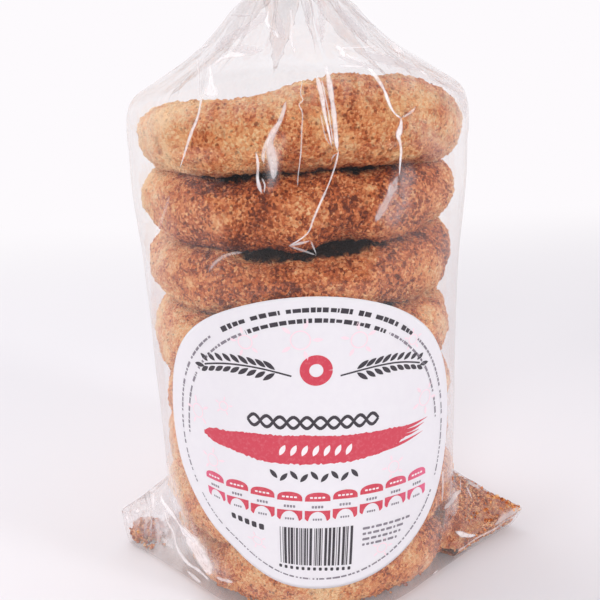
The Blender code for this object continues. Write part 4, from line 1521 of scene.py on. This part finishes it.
def red_ink():
    """Red ink that turns pinker towards the sides of the label."""
    n = Nodes("red_ink")
    split = n.add("ShaderNodeSeparateXYZ")
    n.link(n.position(), split.inputs[0])
    side = n.ramp(n.math("ABSOLUTE", split.outputs["X"]), 0.020, 0.042)
    side = n.math("MULTIPLY", side, n.ramp(split.outputs["Z"], 0.054, 0.058, 1.0, 0.0))
    colour = n.mix(side, linear(204, 66, 84), linear(222, 96, 134))
    colour = n.mix(n.ramp(n.noise(0.0012, 3.0), 0.45, 0.75, 0.0, 0.10), colour, linear(240, 200, 206))
    n.link(colour, n.shader.inputs["Base Color"])
    n.shader.inputs["Roughness"].default_value = 0.45
    return n.material


make_print()


# Crumbs shaken off the rings
CRUMB_SIZE = (0.0004, 0.0010)
CRUMB_GRAIN = 0.0016
LOWEST_CRUMB = 0.0004
LOWEST_MOUND = 0.0006
# How far crumbs and heaps stay off the film, and how far a heap's lumps and grains stand out
CRUMB_INSET = 0.0014
BANK_INSET = 0.0013
BANK_LUMPS = 0.0006
BANK_GRAINS = 0.0005
MOUND_GRAINS = 0.0007
CORNER_ROOT = 0.050
BANK_ROWS = 34
BANK_COLUMNS = 57
BANK_SLOPE = 0.030
BANK_FROM_Z = 0.0008
MOUND_TURNS = 90
MOUND_TILTS = 46
ICOSA_RATIO = (1 + math.sqrt(5)) / 2


def crumb_template():
    """The points and faces of a regular body of twenty triangles."""
    r = ICOSA_RATIO
    corners = [np.roll((a, b, 0), k) for k in range(3) for a, b in ((-1, r), (1, r), (-1, -r), (1, -r))]
    points = np.array(corners) / math.hypot(1, r)
    built = bmesh.new()
    bmesh.ops.convex_hull(built, input=[built.verts.new(p) for p in points])
    faces = [[v.co[:] for v in f.verts] for f in built.faces]
    built.free()
    nearest = [[int(np.argmin(np.linalg.norm(points - np.array(c), axis=1))) for c in face] for face in faces]
    return points, np.array(nearest)


def as_crust(piece, coat, pit_shade, tone):
    """Gives crumbs the attributes and the ride that the rings have."""
    for name, values in (("coat", coat), ("pit_shade", pit_shade), ("tone", tone)):
        add_attribute(piece, name, values)
    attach(piece, "root")
    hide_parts("bag")


def make_crumbs(name, places, draw, material):
    """Many small irregular crumbs as one mesh."""
    shape, triangles = crumb_template()
    count = len(places)
    scale = draw.uniform(*CRUMB_SIZE, (count, 1, 1)) * draw.uniform(0.6, 1.25, (count, 1, 3))
    axes, _ = np.linalg.qr(draw.normal(0, 1, (count, 3, 3)))
    lumps = 1 + draw.uniform(-0.28, 0.28, (count, len(shape), 1))
    points = np.einsum("nij,npj->npi", axes, shape[None] * lumps * scale) + places[:, None, :]
    points[..., 2] = np.maximum(points[..., 2], LOWEST_CRUMB)
    faces = (triangles[None] + (np.arange(count) * len(shape))[:, None, None]).reshape(-1, 3)
    crumbs = mesh_from_arrays(name, points.reshape(-1, 3), np.zeros((0, 4), int), material, faces)
    coat = draw.uniform(0.15, 0.70, count)
    # A random amount of the painted pit shade on each crumb
    pit_shade = draw.uniform(0.0, 0.5, count) ** 2
    tone = draw.uniform(-1.0, 1.0, count)
    as_crust(crumbs, *(np.repeat(values, len(shape)) for values in (coat, pit_shade, tone)))


def in_corner(corner, share_out, offset, z, inset):
    """A point inside a bottom corner of the bag: a share of the way out to its film."""
    side = corner[0]
    x, y = film_form(side * (0.5 * math.pi) + offset, z)
    start_x, start_y = CORNER_ROOT * side * np.cos(offset), -CORNER_FORWARD * 0.3 + 0.3 * y
    shrink = 1 - inset / np.maximum(np.hypot(x - start_x, y - start_y), 1e-6)
    return start_x + (x - start_x) * share_out * shrink, start_y + (y - start_y) * share_out * shrink


def make_bank(name, corner, shares, root, top_z, end_z, seed, material):
    """A heap of crumbs in a bottom corner of the bag, as one lumpy body.

    The first two shares say how far round the corner it starts at the floor and higher up, the third where it
    ends.  Root is its inner side's distance from the axis, and its top falls from top_z to end_z at the tip.
    """
    rows = []
    for height in np.linspace(BANK_FROM_Z, top_z, BANK_ROWS):
        start = shares[0] + (shares[1] - shares[0]) * smooth_step(0.002, 0.010, height)
        z = np.full(BANK_COLUMNS, height)
        offsets = np.linspace(start, shares[2], BANK_COLUMNS) * corner_half_angle(z)
        x, y = in_corner(corner, 1.0, offsets, z, BANK_INSET)
        rows.append(np.stack([x, y, z], -1))
    front = np.array(rows)
    inner = front.copy()
    turns = np.linspace(shares[0], shares[2], BANK_COLUMNS) * CORNER_HALF_ANGLE
    inner[..., 0] = root * corner[0] * np.cos(turns)
    inner[..., 1] = 0.9 * front[..., 1]
    flat = np.concatenate([front, inner[::-1]], 0).reshape(-1, 3)
    lumps = rough_noise(flat, 0.004, seed) * BANK_LUMPS
    lumps = lumps + grains(flat, CRUMB_GRAIN, seed + 3)[0] * BANK_GRAINS
    outward = flat - [BODY_RADIUS * corner[0], -0.004, 0.5 * top_z]
    outward /= np.linalg.norm(outward, axis=1)[:, None]
    flat = flat + outward * (lumps - BANK_LUMPS)[:, None]
    slope = smooth_step(BODY_RADIUS, BODY_RADIUS + BANK_SLOPE, np.abs(flat[:, 0]))
    flat[:, 2] = np.clip(flat[:, 2], LOWEST_CRUST, top_z + (end_z - top_z) * slope)
    quads = grid_quads(2 * BANK_ROWS, BANK_COLUMNS, wrap_rows=True, wrap_columns=False)
    as_heap(mesh_from_arrays(name, flat, quads, material), flat, seed)


def as_heap(heap, flat, seed):
    """Colours a heap as many crumbs, darker towards its top."""
    coat = 0.42 + 0.18 * value_noise(flat, 0.003, seed + 5) + 0.20 * smooth_step(0.008, 0.018, flat[:, 2])
    # Painted shade over most of the heap, as strong as in the hollows between crumbs
    pit_shade = np.clip(0.75 + 0.5 * value_noise(flat, 0.0022, seed + 6), 0, 1)
    as_crust(heap, coat, pit_shade, 0.5 * value_noise(flat, 0.004, seed + 7))


def make_mound(name, middle, size, seed, material):
    """A small lumpy mound of crumbs, flat where it lies on the floor of the bag."""
    turns = np.linspace(0, 2 * math.pi, MOUND_TURNS, endpoint=False)
    tilts = np.linspace(0.02, math.pi - 0.02, MOUND_TILTS)
    turn, tilt = np.meshgrid(turns, tilts, indexing="ij")
    out = np.stack([np.cos(turn) * np.sin(tilt), np.sin(turn) * np.sin(tilt), np.cos(tilt)], -1)
    out = out.reshape(-1, 3)
    flat = out * size * (1 + 0.22 * rough_noise(out, 0.7, seed)[:, None]) + middle
    flat = flat + out * (grains(flat, CRUMB_GRAIN, seed + 3)[0] * MOUND_GRAINS)[:, None]
    flat[:, 2] = np.maximum(flat[:, 2], LOWEST_MOUND)
    quads = grid_quads(MOUND_TURNS, MOUND_TILTS, True, False)
    as_heap(mesh_from_arrays(name, flat, quads, material), flat, seed)


# Loose crumbs in the right and in the left corner: corner, count, lowest and highest, how much more lie low,
# where they start and end round the corner, and how far inwards the innermost lie
LOOSE_CRUMBS = (
    (1, 1500, 0.0015, 0.0200, 0.9, -0.64, 0.93, 0.15),
    (0, 70, 0.0008, 0.0100, 1.6, 0.02, 0.24, 0.35),
)
FLOOR_CRUMBS = 400
FLOOR_CRUMB_RADII = (0.046, 0.0525)
FLOOR_CRUMB_HEIGHTS = (0.0008, 0.002)


def make_loose():
    """Crumbs in the bag: a full right corner, a small mound in the left one and a few on its floor."""
    material = bpy.data.materials["cinnamon_crust"]
    draw = np.random.default_rng(12)
    make_bank("crumb_bank_right", CORNERS[1], (-0.62, -0.97, 0.97), 0.0485, 0.0195, 0.0105, 300, material)
    make_mound("crumb_bank_left", (-0.0700, -0.0050, 0.0036), (0.0066, 0.0042, 0.0052), 340, material)
    places = []
    for number, count, low, high, settle, first, last, inward in LOOSE_CRUMBS:
        z = low + (high - low) * draw.uniform(0, 1, count) ** settle
        offset = draw.uniform(first, last, count) * corner_half_angle(z)
        share = 1 - inward * draw.random(count) ** 2
        x, y = in_corner(CORNERS[number], share, offset, z, CRUMB_INSET)
        places.append(np.stack([x, y, z], -1))
    angle = draw.uniform(-math.pi, math.pi, FLOOR_CRUMBS)
    radius = draw.uniform(*FLOOR_CRUMB_RADII, FLOOR_CRUMBS)
    z = draw.uniform(*FLOOR_CRUMB_HEIGHTS, FLOOR_CRUMBS)
    places.append(np.stack([radius * np.sin(angle), -radius * np.cos(angle), z], -1))
    make_crumbs("crumbs", np.concatenate(places), draw, material)


make_loose()


# The tie: a flat strip with two wires along its edges, wrapped round the neck and twisted at its ends
TIE_DIRECTION = math.radians(-62.0)
TIE_RADIUS = 0.0100
TIE_HALF_HEIGHT = 0.0019
TIE_TURNS = 2.5
TIE_SIDES = 20
TIE_OPENING = 0.16
TAIL_LENGTH = 0.0155
TAIL_SPREAD = 0.0016
# Half the strip's thickness, how much thicker it is at a wire, and the wire's place and width
TIE_HALF_THICKNESS = 0.00016
WIRE_BULGE = 0.00020
WIRE_PLACE = 0.0015
WIRE_WIDTH = 0.00035


def tie_section(turn):
    """The strip's outline across, thicker where its wires run."""
    outline = []
    for k in range(TIE_SIDES):
        t = 2 * math.pi * k / TIE_SIDES
        up = math.cos(t) * TIE_HALF_HEIGHT
        thick = TIE_HALF_THICKNESS + WIRE_BULGE * math.exp(-((abs(up) - WIRE_PLACE) / WIRE_WIDTH) ** 2)
        outline.append((math.copysign(thick, math.sin(t)) * abs(math.sin(t)) ** 0.4, up))
    c, s = math.cos(turn), math.sin(turn)
    return [(across * c - up * s, across * s + up * c) for across, up in outline]


def make_tie():
    """The tie round the neck, as one swept strip with two twisted tails."""
    tails = []
    for share in np.linspace(0.05, 1.0, 40):
        wind = 2 * math.pi * TIE_TURNS * smooth_step(0.0, 0.8, share)
        apart = TAIL_SPREAD * (1 - 0.55 * smooth_step(0, 0.3, share))
        apart = apart * (1 + 0.9 * smooth_step(0.8, 1.0, share))
        reach = TIE_RADIUS + TAIL_LENGTH * share
        tails.append((reach, apart * math.cos(wind), apart * math.sin(wind), wind))
    turns = np.linspace(TIE_OPENING, 2 * math.pi - TIE_OPENING, 90)
    route = [(TIE_RADIUS * math.cos(t), TIE_RADIUS * math.sin(t), 0.0, 0.0) for t in turns]
    route = tails[::-1] + route + [(x, -y, -z, wind) for x, y, z, wind in tails]
    points = np.array([place[:3] for place in route])
    forward = np.gradient(points, axis=0)
    forward /= np.linalg.norm(forward, axis=1)[:, None]
    rows = []
    for point, ahead, (*_, wind) in zip(points, forward, route):
        side = np.cross((0, 0, 1), ahead)
        side /= np.linalg.norm(side)
        up = np.cross(ahead, side)
        rows.append([point + side * a + up * b for a, b in tie_section(wind)])
    x, y, z = np.array(rows).reshape(-1, 3).T
    c, s = math.cos(TIE_DIRECTION), math.sin(TIE_DIRECTION)
    flat = np.stack([NECK_SHIFT + x * c - y * s, x * s + y * c, NECK_Z + z], -1)
    half, last = TIE_SIDES // 2, TIE_SIDES - 1
    ends = np.array([[k, k + 1, last - k - 1, last - k] for k in range(half - 1)])
    ends = np.concatenate([ends, ends[:, ::-1] + (len(rows) - 1) * TIE_SIDES])
    faces = np.concatenate([grid_quads(len(rows), TIE_SIDES), ends])
    tie = mesh_from_arrays("tie_strip", flat, faces, tie_material())
    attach(tie, "root")
    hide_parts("tie")


make_tie()


WORLD_FRONT = 0.20
WORLD_BACK = 1.0
WORLD_COLOUR = linear(253, 250, 253)
LIGHT_TARGET = (0.0, 0.0, 0.10)
# Name, place, size and radiance of each light
LIGHTS = (
    ("key", (-0.50, 0.45, 1.00), (0.60, 0.60), 3.7),
    ("left", (-0.75, -0.55, 0.30), (0.20, 0.75), 5.1),
    ("right", (0.75, -0.45, 0.35), (0.14, 0.75), 9.2),
    ("front_top", (-0.10, -0.92, 0.62), (0.60, 0.28), 9.6),
)


def make_floor():
    """A pale floor that turns into a glowing backdrop as bright as the surroundings far behind, and far in
    front is painted dark as the shade of the dim room there.
    """
    n = Nodes("pale_floor")
    split = n.add("ShaderNodeSeparateXYZ")
    n.link(n.position(), split.inputs[0])
    # Painted shade: far in front the floor turns dark, as the dim room in front would make it
    painted_front_shade = n.ramp(split.outputs["Y"], -0.50, -0.16, 1.0, 0.0)
    pale = n.mix(n.noise(0.25, 2.0), linear(228, 226, 230), linear(225, 223, 227))
    n.link(n.mix(painted_front_shade, pale, linear(120, 116, 118)), n.shader.inputs["Base Color"])
    n.shader.inputs["Roughness"].default_value = 0.7
    n.shader.inputs["Specular IOR Level"].default_value = 0.2
    glow = n.add("ShaderNodeEmission")
    glow.inputs["Color"].default_value = WORLD_COLOUR
    glow.inputs["Strength"].default_value = WORLD_BACK
    far_back = n.ramp(split.outputs["Y"], 0.10, 0.75)
    n.link(n.blend(far_back, n.shader.outputs[0], glow.outputs[0]), n.output.inputs["Surface"])
    points = [(-6.0, -3.0, 0.0), (6.0, -3.0, 0.0), (6.0, 6.0, 0.0), (-6.0, 6.0, 0.0)]
    mesh_from_arrays("floor", points, [(0, 1, 2, 3)], n.material)


def make_light(name, place, size, radiance):
    """A soft rectangular light aimed at the bag's middle, which shows only by what it lights."""
    lamp = bpy.data.lights.new(name, "AREA")
    lamp.shape = "RECTANGLE"
    lamp.size, lamp.size_y = size
    lamp.energy = radiance * math.pi * size[0] * size[1]
    made = object_of(name, lamp)
    made.location = place
    direction = made.location - Vector(LIGHT_TARGET)
    made.rotation_euler = direction.to_track_quat("Z", "Y").to_euler()
    made.visible_camera = False
    made.visible_glossy = False


def make_world():
    """White all round at the back and above, dim in front, as in a room with a bright wall."""
    world = bpy.data.worlds.new("studio")
    world.use_nodes = True
    tree = world.node_tree
    background = tree.nodes["Background"]
    background.inputs["Color"].default_value = WORLD_COLOUR
    direction = tree.nodes.new("ShaderNodeTexCoord")
    split = tree.nodes.new("ShaderNodeSeparateXYZ")
    depth = tree.nodes.new("ShaderNodeMapRange")
    depth.interpolation_type = "SMOOTHSTEP"
    limits = {"From Min": -0.55, "From Max": 0.35, "To Min": WORLD_FRONT, "To Max": WORLD_BACK}
    for socket, value in limits.items():
        depth.inputs[socket].default_value = value
    tree.links.new(direction.outputs["Generated"], split.inputs[0])
    tree.links.new(split.outputs["Y"], depth.inputs["Value"])
    tree.links.new(depth.outputs["Result"], background.inputs["Strength"])
    bpy.context.scene.world = world


def make_lights():
    """The soft lights and the bright surroundings."""
    for name, place, size, radiance in LIGHTS:
        make_light(name, place, size, radiance)
    make_world()


def make_camera():
    """The camera where the photograph's was."""
    camera = bpy.data.cameras.new("camera")
    camera.sensor_width = 36.0
    camera.lens = CAMERA_LENS
    camera.clip_start = 0.01
    made = object_of("camera", camera)
    turn = Matrix.Rotation(CAMERA_YAW, 4, "Z")
    turn = turn @ Matrix.Rotation(0.5 * math.pi - CAMERA_PITCH, 4, "X")
    turn = turn @ Matrix.Rotation(CAMERA_ROLL, 4, "Z")
    made.matrix_world = Matrix.Translation((0.0, -CAMERA_DISTANCE, CAMERA_HEIGHT)) @ turn
    bpy.context.scene.camera = made


make_floor()
make_lights()
make_camera()
bpy.context.scene.view_settings.view_transform = "Standard"
bpy.context.scene.cycles.transparent_max_bounces = 32
